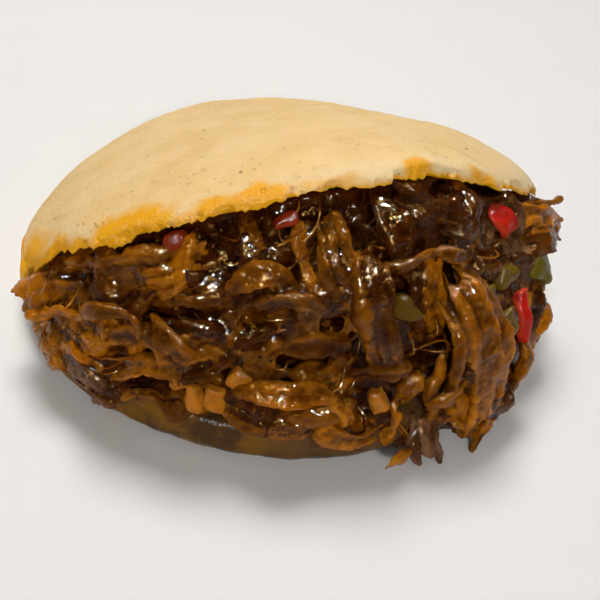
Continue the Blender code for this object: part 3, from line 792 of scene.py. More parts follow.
def crumb_group():
    """Corn crumb: the height of its grains and pores, and masks of its pores and browned specks."""
    if "corn crumb" in bpy.data.node_groups:
        return bpy.data.node_groups["corn crumb"]
    group, given, result = new_group(
        "corn crumb", [("Place", "Vector"), ("Grain size", "Float")], ["Height", "Pores", "Specks"])
    place = given.outputs["Place"]
    often = maths(group, "DIVIDE", 1.0, given.outputs["Grain size"])
    bumps = noise(group, place, often, 3.0, 0.6)
    fine = noise(group, place, maths(group, "MULTIPLY", often, 3.1), 2.0, 0.6)
    pores = fade(group, pits(group, place, maths(group, "MULTIPLY", often, 0.75)), 0.13, 0.34, 1.0, 0.0)
    sparse = fade(group, noise(group, place, maths(group, "MULTIPLY", often, 0.22), 2.0), 0.50, 0.62)
    pores = maths(group, "MULTIPLY", pores, sparse)
    specks = fade(group, pits(group, place, maths(group, "MULTIPLY", often, 0.32)), 0.05, 0.12, 1.0, 0.0)
    rare = fade(group, noise(group, place, maths(group, "MULTIPLY", often, 0.10), 1.0), 0.52, 0.60)
    height = maths(group, "MULTIPLY_ADD", fine, 0.7, bumps)
    height = maths(group, "MULTIPLY_ADD", pores, -0.9, height)
    group.links.new(height, result.inputs["Height"])
    group.links.new(pores, result.inputs["Pores"])
    group.links.new(maths(group, "MULTIPLY", specks, rare), result.inputs["Specks"])
    return group


def fibre_group():
    """Meat fibres along a shred: their height, and a streaky mask that follows them."""
    if "meat fibres" in bpy.data.node_groups:
        return bpy.data.node_groups["meat fibres"]
    group, given, result = new_group(
        "meat fibres", [("Along", "Float"), ("Across", "Float"), ("Place", "Vector")],
        ["Height", "Streak", "Wet"])
    across = maths(group, "MULTIPLY", given.outputs["Across"], 2.0)
    along = maths(group, "MULTIPLY", given.outputs["Along"], 0.13)
    grainwise = join(group, "CombineXYZ", {0: across, 1: along, 2: 0.0}).outputs[0]
    fibres = noise(group, grainwise, 1.0, 3.0, 0.6, 0.3)
    streak = fade(group, noise(group, grainwise, 0.55, 2.0, 0.5, 0.4), 0.35, 0.68)
    place = given.outputs["Place"]
    beads = noise(group, place, 1500.0, 2.0, 0.55)
    drops = fade(group, pits(group, place, 520.0), 0.05, 0.26, 1.0, 0.0)
    drops = maths(group, "MULTIPLY", drops, fade(group, noise(group, place, 230.0, 1.0), 0.44, 0.56))
    film = noise(group, place, 260.0, 3.0, 0.55)
    height = maths(group, "MULTIPLY_ADD", fibres, 0.8, film)
    height = maths(group, "MULTIPLY_ADD", beads, 0.5, height)
    height = maths(group, "MULTIPLY_ADD", drops, 0.8, height)
    group.links.new(height, result.inputs["Height"])
    group.links.new(streak, result.inputs["Streak"])
    group.links.new(fade(group, film, 0.42, 0.62), result.inputs["Wet"])
    return group


def new_finish(name, **constants):
    """Starts a material with a Principled shader, with its constants set on the shader's own sockets."""
    finish = bpy.data.materials.new(name)
    finish.use_nodes = True
    tree = finish.node_tree
    tree.nodes.clear()
    shader = tree.nodes.new("ShaderNodeBsdfPrincipled")
    tree.links.new(shader.outputs[0], tree.nodes.new("ShaderNodeOutputMaterial").inputs[0])
    for name, value in constants.items():
        shader.inputs[name.replace("_", " ").title().replace("Ior", "IOR")].default_value = value
    return finish, tree, shader


def bump(tree, shader, height, depth):
    """Gives a finish its relief: heights from 0 to 1 over the depth."""
    lifted = join(tree, "Bump", {"Height": height, "Distance": depth, "Strength": 1.0})
    tree.links.new(lifted.outputs[0], shader.inputs["Normal"])


def corn_crumb(tree, place, grain_size):
    """Places the crumb effect in a crust's finish."""
    crumb = join(tree, "Group", {}, node_tree=crumb_group())
    tree.links.new(place, crumb.inputs["Place"])
    crumb.inputs["Grain size"].default_value = grain_size
    return crumb.outputs


def shaded(shade, *shares):
    """A colour times one share, or times one for each of its channels."""
    return [c * f for c, f in zip(shade, shares * 3 if len(shares) == 1 else shares)]


def crust_finish(settings):
    """Griddled corn crust: pale yellow, toasted at the back, grainy, painted shadow in its pores, stained
    and painted light at its rim.
    """
    finish, tree, shader = new_finish(
        "corn_crust_top", subsurface_weight=0.25, subsurface_radius=(1.0, 0.6, 0.25),
        subsurface_scale=1.2 * MM, specular_ior_level=0.05)
    place = object_place(tree)
    crumb = corn_crumb(tree, place, 1.5 * MM)
    clouds = noise(tree, place, 70.0, 4.0, 0.6)
    deeper = shaded(settings.crust, 0.93, 0.88, 0.78)
    base = mix(tree, fade(tree, clouds, 0.35, 0.70), settings.crust, deeper)
    # Paler crumb towards the right, and painted light along the rim
    base = mix(tree, reading(tree, "pale"), base, PALE_CRUMB_AND_RIM_LIGHT)
    base = mix(tree, reading(tree, "toast"), base, settings.toasted)
    # Painted shadow in the pores
    base = mix(tree, maths(tree, "MULTIPLY", crumb["Pores"], 0.16), base, PORE_PAINTED_SHADOW)
    base = mix(tree, maths(tree, "MULTIPLY", crumb["Specks"], 0.8), base, SPECK_SHADE)
    patches = fade(tree, noise(tree, place, 420.0, 3.0, 0.65), 0.30, 0.50, 0.8, 1.0)
    stain = maths(tree, "MULTIPLY", reading(tree, "stain"), patches)
    base = mix(tree, stain, base, settings.stain)
    tree.links.new(base, shader.inputs["Base Color"])
    tree.links.new(fade(tree, stain, 0.2, 0.9, 0.72, 0.5), shader.inputs["Roughness"])
    bump(tree, shader, crumb["Height"], settings.pore_depth)
    return finish


def soaked_finish(settings):
    """The lower half's crust: pale where it is dry, dark and wet where sauce has soaked in."""
    finish, tree, shader = new_finish(
        "corn_crust_soaked", subsurface_weight=0.1, subsurface_radius=(1.0, 0.5, 0.2),
        subsurface_scale=1.0 * MM, specular_ior_level=0.05, coat_weight=0.06, coat_roughness=0.08)
    place = object_place(tree)
    crumb = corn_crumb(tree, place, 1.9 * MM)
    toasted = fade(tree, noise(tree, place, 60.0, 4.0, 0.6), 0.35, 0.68)
    dry = mix(tree, toasted, settings.crust, settings.toasted)
    dry = mix(tree, maths(tree, "MULTIPLY", crumb["Specks"], 0.7), dry, SOAKED_SPECK_SHADE)
    wet = mix(tree, reading(tree, "olive"), settings.soaked, OLIVE_SOAK)
    blots = fade(tree, noise(tree, place, 150.0, 3.0, 0.6), 0.38, 0.66)
    wet = mix(tree, blots, wet, shaded(settings.soaked, 0.55))
    soak = reading(tree, "soak")
    base = mix(tree, soak, dry, wet)
    base = mix(tree, reading(tree, "stain"), base, settings.stain)
    tree.links.new(base, shader.inputs["Base Color"])
    tree.links.new(fade(tree, soak, 0.2, 0.9, 0.7, 0.25), shader.inputs["Roughness"])
    bump(tree, shader, crumb["Height"], 0.22 * MM)
    return finish


def beef_finish(name, settings, relief, glow):
    """Shredded beef under thick sauce: dark in crevices as pooled sauce and painted shade, amber where
    thin, greyer where bare.
    """
    finish, tree, shader = new_finish(
        name, subsurface_weight=glow, subsurface_radius=(1.0, 0.36, 0.08), subsurface_scale=2.2 * MM,
        specular_ior_level=0.08, specular_tint=SAUCE_GLOSS, coat_roughness=0.03)
    place = object_place(tree)
    fibres = join(tree, "Group", {}, node_tree=fibre_group())
    tree.links.new(reading(tree, "along"), fibres.inputs["Along"])
    tree.links.new(reading(tree, "across"), fibres.inputs["Across"])
    tree.links.new(place, fibres.inputs["Place"])
    tone = reading(tree, "tone")
    patch = noise(tree, place, 95.0, 3.0, 0.55)
    across = maths(tree, "ABSOLUTE", join(tree, "SeparateXYZ", {"Vector": place}).outputs["X"])
    ends = fade(tree, across, 34 * MM, 62 * MM, -0.06, 0.42)
    thin = maths(tree, "ADD", tone, ends)
    thin = maths(tree, "ADD", thin, maths(tree, "MULTIPLY_ADD", patch, 1.3, -0.65))
    bare = maths(tree, "MULTIPLY_ADD", tone, -1.0, maths(tree, "MULTIPLY_ADD", patch, 1.0, -0.5))
    base = mix(tree, fade(tree, thin, 0.10, 1.15), settings.sauce, settings.amber)
    base = mix(tree, fade(tree, bare, 0.25, 0.75), base, settings.meat)
    darker = mix(tree, 1.0, base, STREAK_SHARE, "MULTIPLY")
    base = mix(tree, fibres.outputs["Streak"], darker, base)
    # Darker in the crevices: partly pooled sauce, partly painted shade
    pooled_and_shaded = mix(tree, 1.0, base, POOLED_SAUCE_AND_SHADE_SHARE, "MULTIPLY")
    base = mix(tree, fade(tree, reading(tree, "stand"), -0.38, 0.38), pooled_and_shaded, base)
    tree.links.new(base, shader.inputs["Base Color"])
    tree.links.new(fade(tree, fibres.outputs["Wet"], 0.0, 1.0, 0.20, 0.08), shader.inputs["Roughness"])
    tree.links.new(fade(tree, patch, 0.34, 0.60, 0.06, 0.25), shader.inputs["Coat Weight"])
    bump(tree, shader, fibres.outputs["Height"], relief)
    return finish


def vegetable_finish(name, shade, skin_gloss, glow, flesh):
    """Soft cooked vegetable: glossy skin, paler flesh at its cut edges, a film of sauce, partly painted
    shade under the rim.
    """
    finish, tree, shader = new_finish(
        name, subsurface_weight=glow, subsurface_radius=(1.0, 0.4, 0.15), subsurface_scale=1.5 * MM,
        specular_ior_level=0.05, coat_weight=0.08, coat_roughness=0.04)
    place = object_place(tree)
    mottle = noise(tree, place, 300.0, 3.0, 0.6)
    base = mix(tree, fade(tree, mottle, 0.35, 0.7), shade, shaded(shade, 0.6))
    base = mix(tree, reading(tree, "edge"), base, flesh)
    # Sauce darkens the piece; on pieces under the upper half's rim this is partly painted shade
    sauce = maths(tree, "ADD", noise(tree, place, 170.0, 3.0, 0.6), reading(tree, "sauce"))
    sauce = fade(tree, sauce, 0.52, 1.1, 0.0, 0.92)
    base = mix(tree, sauce, base, [0.6 * film + 0.3 * own for film, own in zip(SAUCE_FILM_AND_SHADE, shade)])
    tree.links.new(base, shader.inputs["Base Color"])
    rough = fade(tree, mottle, 0.3, 0.7, skin_gloss, skin_gloss + 0.15)
    tree.links.new(rough, shader.inputs["Roughness"])
    bump(tree, shader, noise(tree, place, 700.0, 3.0, 0.6), 0.18 * MM)
    return finish


def vertex_normals(mesh):
    normals = np.empty(len(mesh.vertices) * 3, np.float32)
    mesh.vertex_normals.foreach_get("vector", normals)
    return normals.reshape(-1, 3).astype(float)


def resample(points, count):
    """Reads the line through a half section's corner points at many places, evenly spaced."""
    points = np.asarray(points, float)
    steps = np.r_[0, np.cumsum(np.linalg.norm(np.diff(points, axis=0), axis=1))]
    places = np.linspace(0, steps[-1], count)
    return np.stack([np.interp(places, steps, points[:, k]) for k in range(2)], axis=-1)


def depth_from_rim(reach):
    """How far in from the rim a place of the upper half is, along its face, in mm."""
    stops = np.linspace(1, 0, 400)
    steps = np.hypot(np.diff(stops) * TOP_WIDE, np.diff(crust_height(stops)))
    return np.interp(reach, stops[::-1], np.r_[0, np.cumsum(steps)][::-1]) / MM


def torn_rim(angle, reach, level):
    """How far the torn rim wanders inwards and upwards, as shares of its raggedness."""
    rim = top_place(np.ones_like(angle), angle, 0.0)
    bare = top_place(reach, angle, level * crust_height(reach))
    crumbs = np.abs(grain(bare, CRUMB_LENGTH * MM, 3))
    crumbs = crumbs + 0.8 * np.abs(grain(bare, SMALL_CRUMB_LENGTH * MM, 15)) - 0.45
    bite = BITE_SHARE * np.tanh(4 * grain(rim, BITE_LENGTH * MM, 1))
    bite = bite + FRAY_SHARE * grain(rim, FRAY_LENGTH * MM, 2) - CRUMB_SHARE * crumbs
    tear = TEAR_SHARE * np.tanh(5 * grain(rim, TEAR_LENGTH * MM, 4))
    tear = tear + FRAY_SHARE * grain(rim, FRAY_LENGTH * MM, 5) + CRUMB_SHARE * crumbs
    return bite, tear


def rim_stain(degrees, fringe):
    """How strongly sauce stains the upper half, in patches that reach in from its rim."""
    stain = np.zeros_like(degrees)
    for middle, spread, deep, strength in RIM_STAINS:
        window = bell(degrees, middle, spread, 4)
        stain = np.maximum(stain, strength * window * smooth_step(1.5 - fringe / deep))
    return stain


class AREPA_OT_top_crust(bpy.types.Operator):
    """Makes the upper half: a griddled crust with a torn, sauce-stained rim"""
    bl_idname = "arepa.top_crust"
    bl_label = "Upper half"

    def execute(self, context):
        settings = context.scene.arepa_bread
        cut_face = [(reach, 0.0) for reach in np.linspace(0, 1, 24)]
        lip = [(1.0, level) for level in (0.3, 0.65)]
        crust = [(1 - t ** 1.35, 1.0) for t in np.linspace(0, 1, 72)]
        mesh = mesh_of("top_crust", lathe(cut_face + lip + crust, TOP_STEPS))
        angle, reach, level = lathe_readings(mesh)
        degrees = np.degrees(angle)
        depth_in = depth_from_rim(reach)
        bite, tear = torn_rim(angle, reach, level)
        torn = bell(depth_in, 0, TORN_DEPTH)
        lift = level * crust_height(reach) + torn * (1 - 0.55 * level) * tear * settings.ragged
        corner = bell(degrees, CORNER_ANGLE, CORNER_SPREAD) * ramp(reach, 0.8, 0.2)
        right_end = bell(degrees, RIGHT_END_ANGLE, RIGHT_END_SPREAD) * ramp(reach, 0.25, 0.75)
        lift = lift - CORNER_DROP * corner + RIGHT_END_RISE * right_end
        inward = unit(top_place(reach, angle, lift) - top_place(reach - 0.02, angle, lift))
        places = top_place(reach, angle, lift) + inward * (bite * torn * settings.ragged)[:, None]
        set_coordinates(mesh, places)
        lumps = grains(places, (0.55, 24, 6), (0.30, 9, 7))
        lumps = lumps + (0.13 + 0.30 * (1 - level)) * grain(places, 2.6 * MM, 8)
        lumps = lumps + 0.10 * grain(places, 1.6 * MM, 9)
        calm = 1 - 0.6 * ramp(reach, 0.90, 0.10)
        places = places + vertex_normals(mesh) * (lumps * calm * MM)[:, None]
        set_coordinates(mesh, in_frame(places))
        fringe = depth_in + 1.6 * grain(places, 5 * MM, 10) + 1.0 * grain(places, 2 * MM, 11)
        stain = rim_stain(degrees, fringe)
        stain = np.maximum(stain, 0.8 * (1 - level) * ramp(reach, 0.6, 0.3))
        set_attribute(mesh, "stain", np.minimum(1.4 * stain, 1))
        back_left = (-np.sin(angle + math.radians(20)) * reach - 0.55) / 0.5
        back_left = back_left + 0.25 * grain(places, 15 * MM, 12)
        toast = 0.25 * smooth_step(back_left) * level + 0.12 * smooth_step(grain(places, 12 * MM, 13))
        set_attribute(mesh, "toast", toast)
        pale = 0.75 * ramp(np.sin(angle - math.radians(15)) * reach, 0.35, 0.6)
        # Paler along the rim: painted light
        pale = pale + 0.35 * ramp(reach, 0.93, 0.07)
        set_attribute(mesh, "pale", np.clip(pale, 0, 1) * (0.4 + 0.6 * level))
        piece_of("top_crust", mesh, crust_finish(settings), "corn_crust", "arepa_top")
        return {"FINISHED"}


class AREPA_OT_bottom_crust(bpy.types.Operator):
    """Makes the lower half: a flat round, soaked with sauce where the filling spills over it"""
    bl_idname = "arepa.bottom_crust"
    bl_label = "Lower half"

    def execute(self, context):
        settings = context.scene.arepa_bread
        section = [tuple(point) for point in resample(BOTTOM_CORNERS, 70)]
        mesh = mesh_of("bottom_crust", lathe(section, BOTTOM_STEPS))
        angle, reach, level = lathe_readings(mesh)
        places = bottom_outline(angle) * reach[:, None]
        curl = bell(np.degrees(angle), CURL_ANGLE, CURL_SPREAD) * ramp(reach, 0.82, 0.18)
        places[:, 2] = level * (cut_height(places) + CURL_HEIGHT * curl)
        set_coordinates(mesh, places)
        rough = grains(places, (0.35, 11, 1), (0.28, 4, 2), (0.15, 1.8, 3))
        lively = 0.35 + 0.65 * ramp(reach, 0.75, 0.25)
        places = places + vertex_normals(mesh) * (rough * lively * MM)[:, None]
        places[:, 2] = np.maximum(places[:, 2], 0.05 * MM)
        set_coordinates(mesh, in_frame(places))
        front = smooth_step((1.05 - np.abs(angle + 0.1) / 1.9) / 0.35)
        fringe = grains(places, (0.25, 9, 4), (0.15, 3, 5))
        soak = front * smooth_step((reach - 0.55) / 0.35 + fringe)
        soak = np.maximum(soak, smooth_step(level * 2 - 0.9) * smooth_step((0.95 - reach) / 0.05) * 0.9)
        under = (level < 0.02) * (reach < 0.86)
        set_attribute(mesh, "soak", np.where(under, soak * 0.25, soak))
        stain = curl * 1.5 * smooth_step((level - 0.25 + fringe) / 0.4)
        set_attribute(mesh, "stain", np.clip(stain, 0, 1))
        olive = smooth_step((-np.degrees(angle) - 12 + grains(places, (8, 8, 6))) / 22)
        set_attribute(mesh, "olive", olive)
        piece_of("bottom_crust", mesh, soaked_finish(settings), "soaked_crust", "arepa_bottom")
        return {"FINISHED"}


def core_mesh():
    """The heap's hidden body, a few mm inside its surface and clear of both halves of bread."""
    floor_rings = [(reach, 0.0) for reach in (0, 0.3, 0.6, 0.85)]
    side_rings = [(1.0, level) for level in np.linspace(0, 1, 14)]
    roof_rings = [(reach, 1.0) for reach in (0.85, 0.6, 0.3, 0)]
    mesh = mesh_of("core", lathe(floor_rings + side_rings + roof_rings, 72))
    angle, reach, level = lathe_readings(mesh)
    inset = CORE_DEPTH * MM + LEFT_END_INSET * MM * left_end(np.degrees(angle))
    surface = heap(angle, np.clip(level, 0.06, 1.0), -inset)
    inner = bottom_outline(angle, np.minimum(around(SPILL, angle), -1) * MM - 5 * MM)
    on_bread = inner * reach[:, None]
    on_bread[:, 2] = cut_height(on_bread) + CORE_CLEAR_BELOW * MM
    under_top = top_place(around(HEAD_REACH, angle) * 0.93 * reach, angle, -CORE_CLEAR_ABOVE * MM)
    low = smooth_step((0.18 - level) / 0.18)[:, None]
    high = ramp(level, 0.82, 0.18)[:, None]
    places = surface * (1 - low) * (1 - high) + on_bread * low + under_top * high
    places[:, 2] = np.maximum(places[:, 2], cut_height(places) + CORE_CLEAR_BELOW * MM)
    set_coordinates(mesh, in_frame(places))
    return mesh


def merged_by_sauce(name, meshes, voxel):
    """Melts closed meshes into one skin at a voxel's resolution, as thick sauce joins shreds."""
    bm = bmesh.new()
    for mesh in meshes:
        bm.from_mesh(mesh)
    together = bpy.data.objects.new(name, mesh_of(name + "_parts", bm))
    bpy.context.scene.collection.objects.link(together)
    remesh = together.modifiers.new("sauce", "REMESH")
    remesh.mode = "VOXEL"
    remesh.voxel_size = voxel
    bpy.context.view_layer.update()
    evaluated = together.evaluated_get(bpy.context.evaluated_depsgraph_get())
    result = bpy.data.meshes.new_from_object(evaluated)
    result.name = name
    parts = together.data
    bpy.data.objects.remove(together)
    bpy.data.meshes.remove(parts)
    return result


def soften(mesh, rounds):
    """Smooths a skin in rounds, as thick sauce does."""
    bm = bmesh.new()
    bm.from_mesh(mesh)
    for _ in range(rounds):
        bmesh.ops.smooth_vert(
            bm, verts=bm.verts, factor=0.5, use_axis_x=True, use_axis_y=True, use_axis_z=True)
    bm.to_mesh(mesh)
    bm.free()


def roughen(mesh, amount):
    """Swells and dents a skin unevenly, as meat under sauce is."""
    places = coordinates(mesh)
    swell = grains(places, (0.32, 4.2, 1), (0.34, 2.1, 2), (0.24, 1.1, 3))
    set_coordinates(mesh, places + vertex_normals(mesh) * (swell * amount)[:, None])


def fill_crevices(mesh, rounds, share):
    """Lets sauce stand in the crevices, and marks how far each place stood out round them, in mm."""
    soft = mesh.copy()
    soften(soft, rounds)
    places, level = coordinates(mesh), coordinates(soft)
    stand = ((places - level) * vertex_normals(mesh)).sum(axis=1)
    sunk = share * smooth_step(-stand / POOL_DEPTH)
    set_coordinates(mesh, places + (level - places) * sunk[:, None])
    set_attribute(mesh, "stand", stand / MM)
    bpy.data.meshes.remove(soft)


def pass_readings(source_meshes, mesh, names):
    """Gives each vertex the readings of the nearest vertex among the source meshes."""
    places = np.concatenate([coordinates(source) for source in source_meshes])
    tree = KDTree(len(places))
    for number, place in enumerate(places):
        tree.insert(place, number)
    tree.balance()
    nearest = np.array([tree.find(vertex.co)[1] for vertex in mesh.vertices])
    for name in names:
        values = []
        for source in source_meshes:
            data = np.zeros(len(source.vertices))
            if name in source.attributes:
                source.attributes[name].data.foreach_get("value", data)
            values.append(data)
        set_attribute(mesh, name, np.concatenate(values)[nearest])


class AREPA_OT_beef_mass(bpy.types.Operator):
    """Makes the body of the heap: hundreds of shreds melted together by their sauce"""
    bl_idname = "arepa.beef_mass"
    bl_label = "Body of the heap"

    def execute(self, context):
        settings = context.scene.arepa_beef
        draw = np.random.default_rng(5)
        count = settings.shreds
        deep, deep_tone = scattered_routes(
            count // 2, seed=21, length=(14, 34), out=(-3.2, -1.0), disorder=0.5)
        near, near_tone = scattered_routes(
            count - count // 2, seed=22, length=(7, 24), out=(-1.2, 1.2), disorder=0.7)
        routes = deep + near
        tones = np.r_[deep_tone - 0.25, near_tone]
        widths = draw.uniform(2.6, 8.0, count)
        depths = draw.uniform(2.0, 4.0, count)
        parts = split_in_strands(routes, widths, depths, tones, seed=24)
        strips = strip_mesh("mass_strips", *parts, rings=16, sides=8, seed=23, rough=0.55)
        core = core_mesh()
        cell = MASS_CELL
        mesh = merged_by_sauce("beef_mass", [core, strips], settings.voxel * cell)
        soften(mesh, rounds=2)
        roughen(mesh, amount=1.3 * MM)
        fill_crevices(mesh, rounds=24, share=0.85)
        pass_readings([strips, core], mesh, ("tone", "along", "across"))
        for spare in (strips, core):
            bpy.data.meshes.remove(spare)
        finish = beef_finish("sauced_beef_mass", settings, relief=0.36 * MM, glow=0.22)
        piece_of("beef_mass", mesh, finish, "sauced_beef", "shredded_beef")
        return {"FINISHED"}


class AREPA_OT_beef_shreds(bpy.types.Operator):
    """Lays the crisp shreds that stand out on the heap"""
    bl_idname = "arepa.beef_shreds"
    bl_label = "Shreds on the heap"

    def execute(self, context):
        settings = context.scene.arepa_beef
        draw = np.random.default_rng(31)
        count = settings.loose_shreds
        loose, loose_tone = scattered_routes(
            count, seed=32, length=(6, 18), out=(0.4, 2.0), disorder=0.8)
        routes = [route for route, _, _, _ in LANDMARKS] + loose
        widths = np.r_[[width for _, width, _, _ in LANDMARKS], draw.uniform(1.4, 5.0, count)]
        depths = np.r_[[depth for _, _, depth, _ in LANDMARKS], draw.uniform(0.9, 2.0, count)]
        tones = np.r_[[tone for _, _, _, tone in LANDMARKS], loose_tone + 0.15]
        parts = split_in_strands(routes, widths, depths, tones, seed=34)
        strips = strip_mesh("shred_strips", *parts, rings=26, sides=10, seed=33, rough=0.5)
        cell = SHRED_CELL
        mesh = merged_by_sauce("beef_shreds", [strips], settings.voxel * cell)
        soften(mesh, rounds=1)
        roughen(mesh, amount=1.1 * MM)
        fill_crevices(mesh, rounds=16, share=0.7)
        pass_readings([strips], mesh, ("tone", "along", "across"))
        bpy.data.meshes.remove(strips)
        finish = beef_finish("sauced_beef_shreds", settings, relief=0.32 * MM, glow=0.35)
        piece_of("beef_shreds", mesh, finish, "sauced_beef")
        return {"FINISHED"}


class AREPA_OT_beef_fibres(bpy.types.Operator):
    """Lays the single fibres and frayed ends that lie on the shreds"""
    bl_idname = "arepa.beef_fibres"
    bl_label = "Single fibres"

    def execute(self, context):
        settings = context.scene.arepa_beef
        draw = np.random.default_rng(41)
        count = settings.fibres
        routes, tones = scattered_routes(
            count, seed=42, length=(3, 12), out=(-0.4, 1.0), disorder=0.7)
        widths = draw.uniform(0.35, 1.0, count)
        depths = draw.uniform(0.3, 0.7, count)
        mesh = strip_mesh("beef_fibres", routes, widths, depths, tones + 0.4,
                          rings=12, sides=6, seed=43, rough=0.5, taper=0.8)
        finish = beef_finish("sauced_beef_fibres", settings, relief=0.10 * MM, glow=0.4)
        piece_of("beef_fibres", mesh, finish, "sauced_beef")
        return {"FINISHED"}


def chunk_mesh(name, route, width, depth, sauce, seed, squareness):
    """A cut piece of vegetable along a route on the heap: a rounded slab with soft, uneven sides."""
    bm = bmesh.new()
    bmesh.ops.create_cube(bm, size=2)
    bmesh.ops.subdivide_edges(bm, edges=bm.edges, cuts=11, use_grid_fill=True)
    mesh = mesh_of(name, bm)
    cube = coordinates(mesh)
    rounded = cube / (np.abs(cube) ** squareness).sum(axis=1, keepdims=True) ** (1 / squareness)
    stops = np.linspace(-1, 1, 9)
    readings = smooth_routes([route], 9)[0]
    angle, height, out = (np.interp(rounded[:, 0], stops, readings[:, k]) for k in range(3))
    angle = np.radians(angle)
    centre = heap(angle, height, out * MM)
    before, after = readings[0], readings[-1]
    ahead = unit(heap(np.radians(after[0]), after[1]) - heap(np.radians(before[0]), before[1]))
    away = heap_out(angle, height)
    side = unit(np.cross(away, ahead))
    bowed = 0.12 * width * (rounded[:, 1] ** 2) * MM
    places = centre + side * (rounded[:, 1] * width / 2 * MM)[:, None]
    places = places + away * (rounded[:, 2] * depth / 2 * MM - bowed)[:, None]
    wobble = np.stack([grain(places, 4 * MM, seed + k) for k in (0.1, 0.2, 0.3)], axis=-1)
    fine = np.stack([grain(places, 1.5 * MM, seed + k) for k in (0.4, 0.5, 0.6)], axis=-1)
    places = places + wobble * 1.0 * MM + fine * 0.2 * MM
    set_coordinates(mesh, in_frame(places))
    bare = np.maximum(np.abs(rounded[:, 0]), np.abs(rounded[:, 1]))
    set_attribute(mesh, "edge", smooth_step((bare - 0.86) / 0.12) * 0.8 * (rounded[:, 2] < 0.75))
    set_attribute(mesh, "sauce", np.full(len(cube), sauce))
    return mesh


class AREPA_OT_vegetables(bpy.types.Operator):
    """Makes the strips and dice of pepper and onion"""
    bl_idname = "arepa.vegetables"
    bl_label = "Peppers and onions"

    def execute(self, context):
        settings = context.scene.arepa_vegetables
        for kind, pieces, shade, skin_gloss, glow, flesh, squareness in VEGETABLES:
            finish = vegetable_finish(f"{kind}_flesh", getattr(settings, shade), skin_gloss, glow, flesh)
            for number, (route, width, depth, sauce) in enumerate(pieces, 1):
                mesh = chunk_mesh(f"{kind}_cut_{number}", route, width, depth, sauce, number, squareness)
                piece_of(f"{kind}_cut_{number}", mesh, finish, kind, f"{kind}_{number}")
        return {"FINISHED"}


def area_light(name, place, size, power, only_gloss=False, with_gloss=True):
    """A round soft light that looks at the model and may give only gloss, or all but gloss."""
    light = bpy.data.lights.new(name, "AREA")
    light.shape = "DISK"
    light.size = size
    light.energy = power
    lamp = bpy.data.objects.new(name, light)
    lamp.location = place
    lamp.visible_diffuse = not only_gloss
    lamp.visible_glossy = with_gloss
    lamp.rotation_euler = (Vector(LIGHT_AIM) - Vector(place)).to_track_quat("-Z", "Y").to_euler()
    bpy.context.scene.collection.objects.link(lamp)


def plain_floor(settings):
    """A wide floor that is only a stage."""
    bm = bmesh.new()
    bmesh.ops.create_grid(bm, x_segments=8, y_segments=8, size=3.0)
    finish, tree, shader = new_finish("studio_floor", roughness=0.9, specular_ior_level=0.05)
    soft = noise(tree, object_place(tree), 3.0, 2.0)
    shade = mix(tree, fade(tree, soft, 0.3, 0.7), settings.floor, shaded(settings.floor, 0.985))
    tree.links.new(shade, shader.inputs["Base Color"])
    mesh = mesh_of("floor", bm)
    mesh.materials.append(finish)
    floor = bpy.data.objects.new("floor", mesh)
    bpy.context.scene.collection.objects.link(floor)


def studio_air():
    """A faint warm light from all round."""
    world = bpy.data.worlds.new("studio")
    world.use_nodes = True
    air = world.node_tree.nodes["Background"]
    air.inputs["Color"].default_value = AIR_COLOUR
    air.inputs["Strength"].default_value = AIR_LIGHT
    bpy.context.scene.world = world


def viewing_camera():
    """The camera at the photograph's angle, rolled as it was."""
    camera = bpy.data.cameras.new("camera")
    camera.sensor_width = CAMERA_SENSOR
    camera.lens = CAMERA_LENS
    camera.clip_start = 0.01
    camera.clip_end = 20
    ahead = Vector((0, math.cos(CAMERA_DOWN), -math.sin(CAMERA_DOWN)))
    level, top = Vector((1, 0, 0)), Vector((0, math.sin(CAMERA_DOWN), math.cos(CAMERA_DOWN)))
    c, s = math.cos(CAMERA_ROLL), math.sin(CAMERA_ROLL)
    turn = Matrix((level * c + top * s, top * c - level * s, -ahead)).transposed()
    view = bpy.data.objects.new("camera", camera)
    view.matrix_world = Matrix.Translation(CAMERA_PLACE + RIG - BREAD_CENTRE) @ turn.to_4x4()
    bpy.context.scene.collection.objects.link(view)
    return view


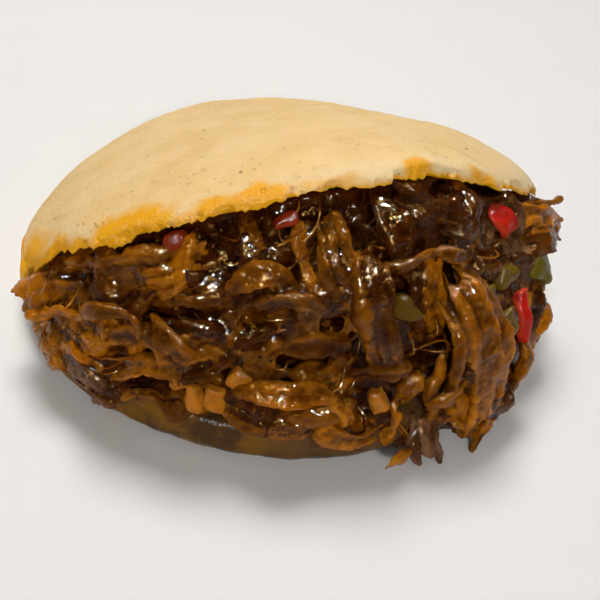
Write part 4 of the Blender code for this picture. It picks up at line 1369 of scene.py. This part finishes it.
class AREPA_OT_stage(bpy.types.Operator):
    """Sets out the plain floor, the soft lights and the camera"""
    bl_idname = "arepa.stage"
    bl_label = "Floor, lights and camera"

    def execute(self, context):
        settings = context.scene.arepa_stage
        plain_floor(settings)
        studio_air()
        area_light("key_light", KEY_PLACE, KEY_SIZE, settings.key_power, with_gloss=False)
        area_light("fill_light", FILL_PLACE, FILL_SIZE, settings.fill_power)
        for number, place in enumerate(GLINT_PLACES):
            area_light(f"glint_light_{number}", place, GLINT_SIZE, settings.glint_power, only_gloss=True)
        context.scene.camera = viewing_camera()
        context.scene.view_settings.view_transform = "Standard"
        return {"FINISHED"}


OPERATORS = (
    AREPA_OT_top_crust, AREPA_OT_bottom_crust, AREPA_OT_beef_mass, AREPA_OT_beef_shreds,
    AREPA_OT_beef_fibres, AREPA_OT_vegetables, AREPA_OT_stage,
)
SETTINGS = (
    ("arepa_bread", BreadSettings), ("arepa_beef", BeefSettings), ("arepa_vegetables", VegetableSettings),
    ("arepa_stage", StageSettings),
)


class AREPA_PT_panel(bpy.types.Panel):
    """Lists the settings and the steps that make the pieces"""
    bl_idname = "AREPA_PT_panel"
    bl_label = "Shredded beef arepa"
    bl_space_type = "VIEW_3D"
    bl_region_type = "UI"
    bl_category = "Arepa"

    def draw(self, context):
        for name, kind in SETTINGS:
            box = self.layout.box()
            for field in kind.__annotations__:
                box.prop(getattr(context.scene, name), field)
        for operator in OPERATORS:
            self.layout.operator(operator.bl_idname)


def register():
    for name, kind in SETTINGS:
        bpy.utils.register_class(kind)
        setattr(bpy.types.Scene, name, PointerProperty(type=kind))
    for kind in (*OPERATORS, AREPA_PT_panel):
        bpy.utils.register_class(kind)


def unregister():
    for kind in (AREPA_PT_panel, *reversed(OPERATORS)):
        bpy.utils.unregister_class(kind)
    for name, kind in reversed(SETTINGS):
        delattr(bpy.types.Scene, name)
        bpy.utils.unregister_class(kind)


def main():
    register()
    for operator in OPERATORS:
        group, step = operator.bl_idname.split(".")
        getattr(getattr(bpy.ops, group), step)()


if __name__ == "__main__":
    main()
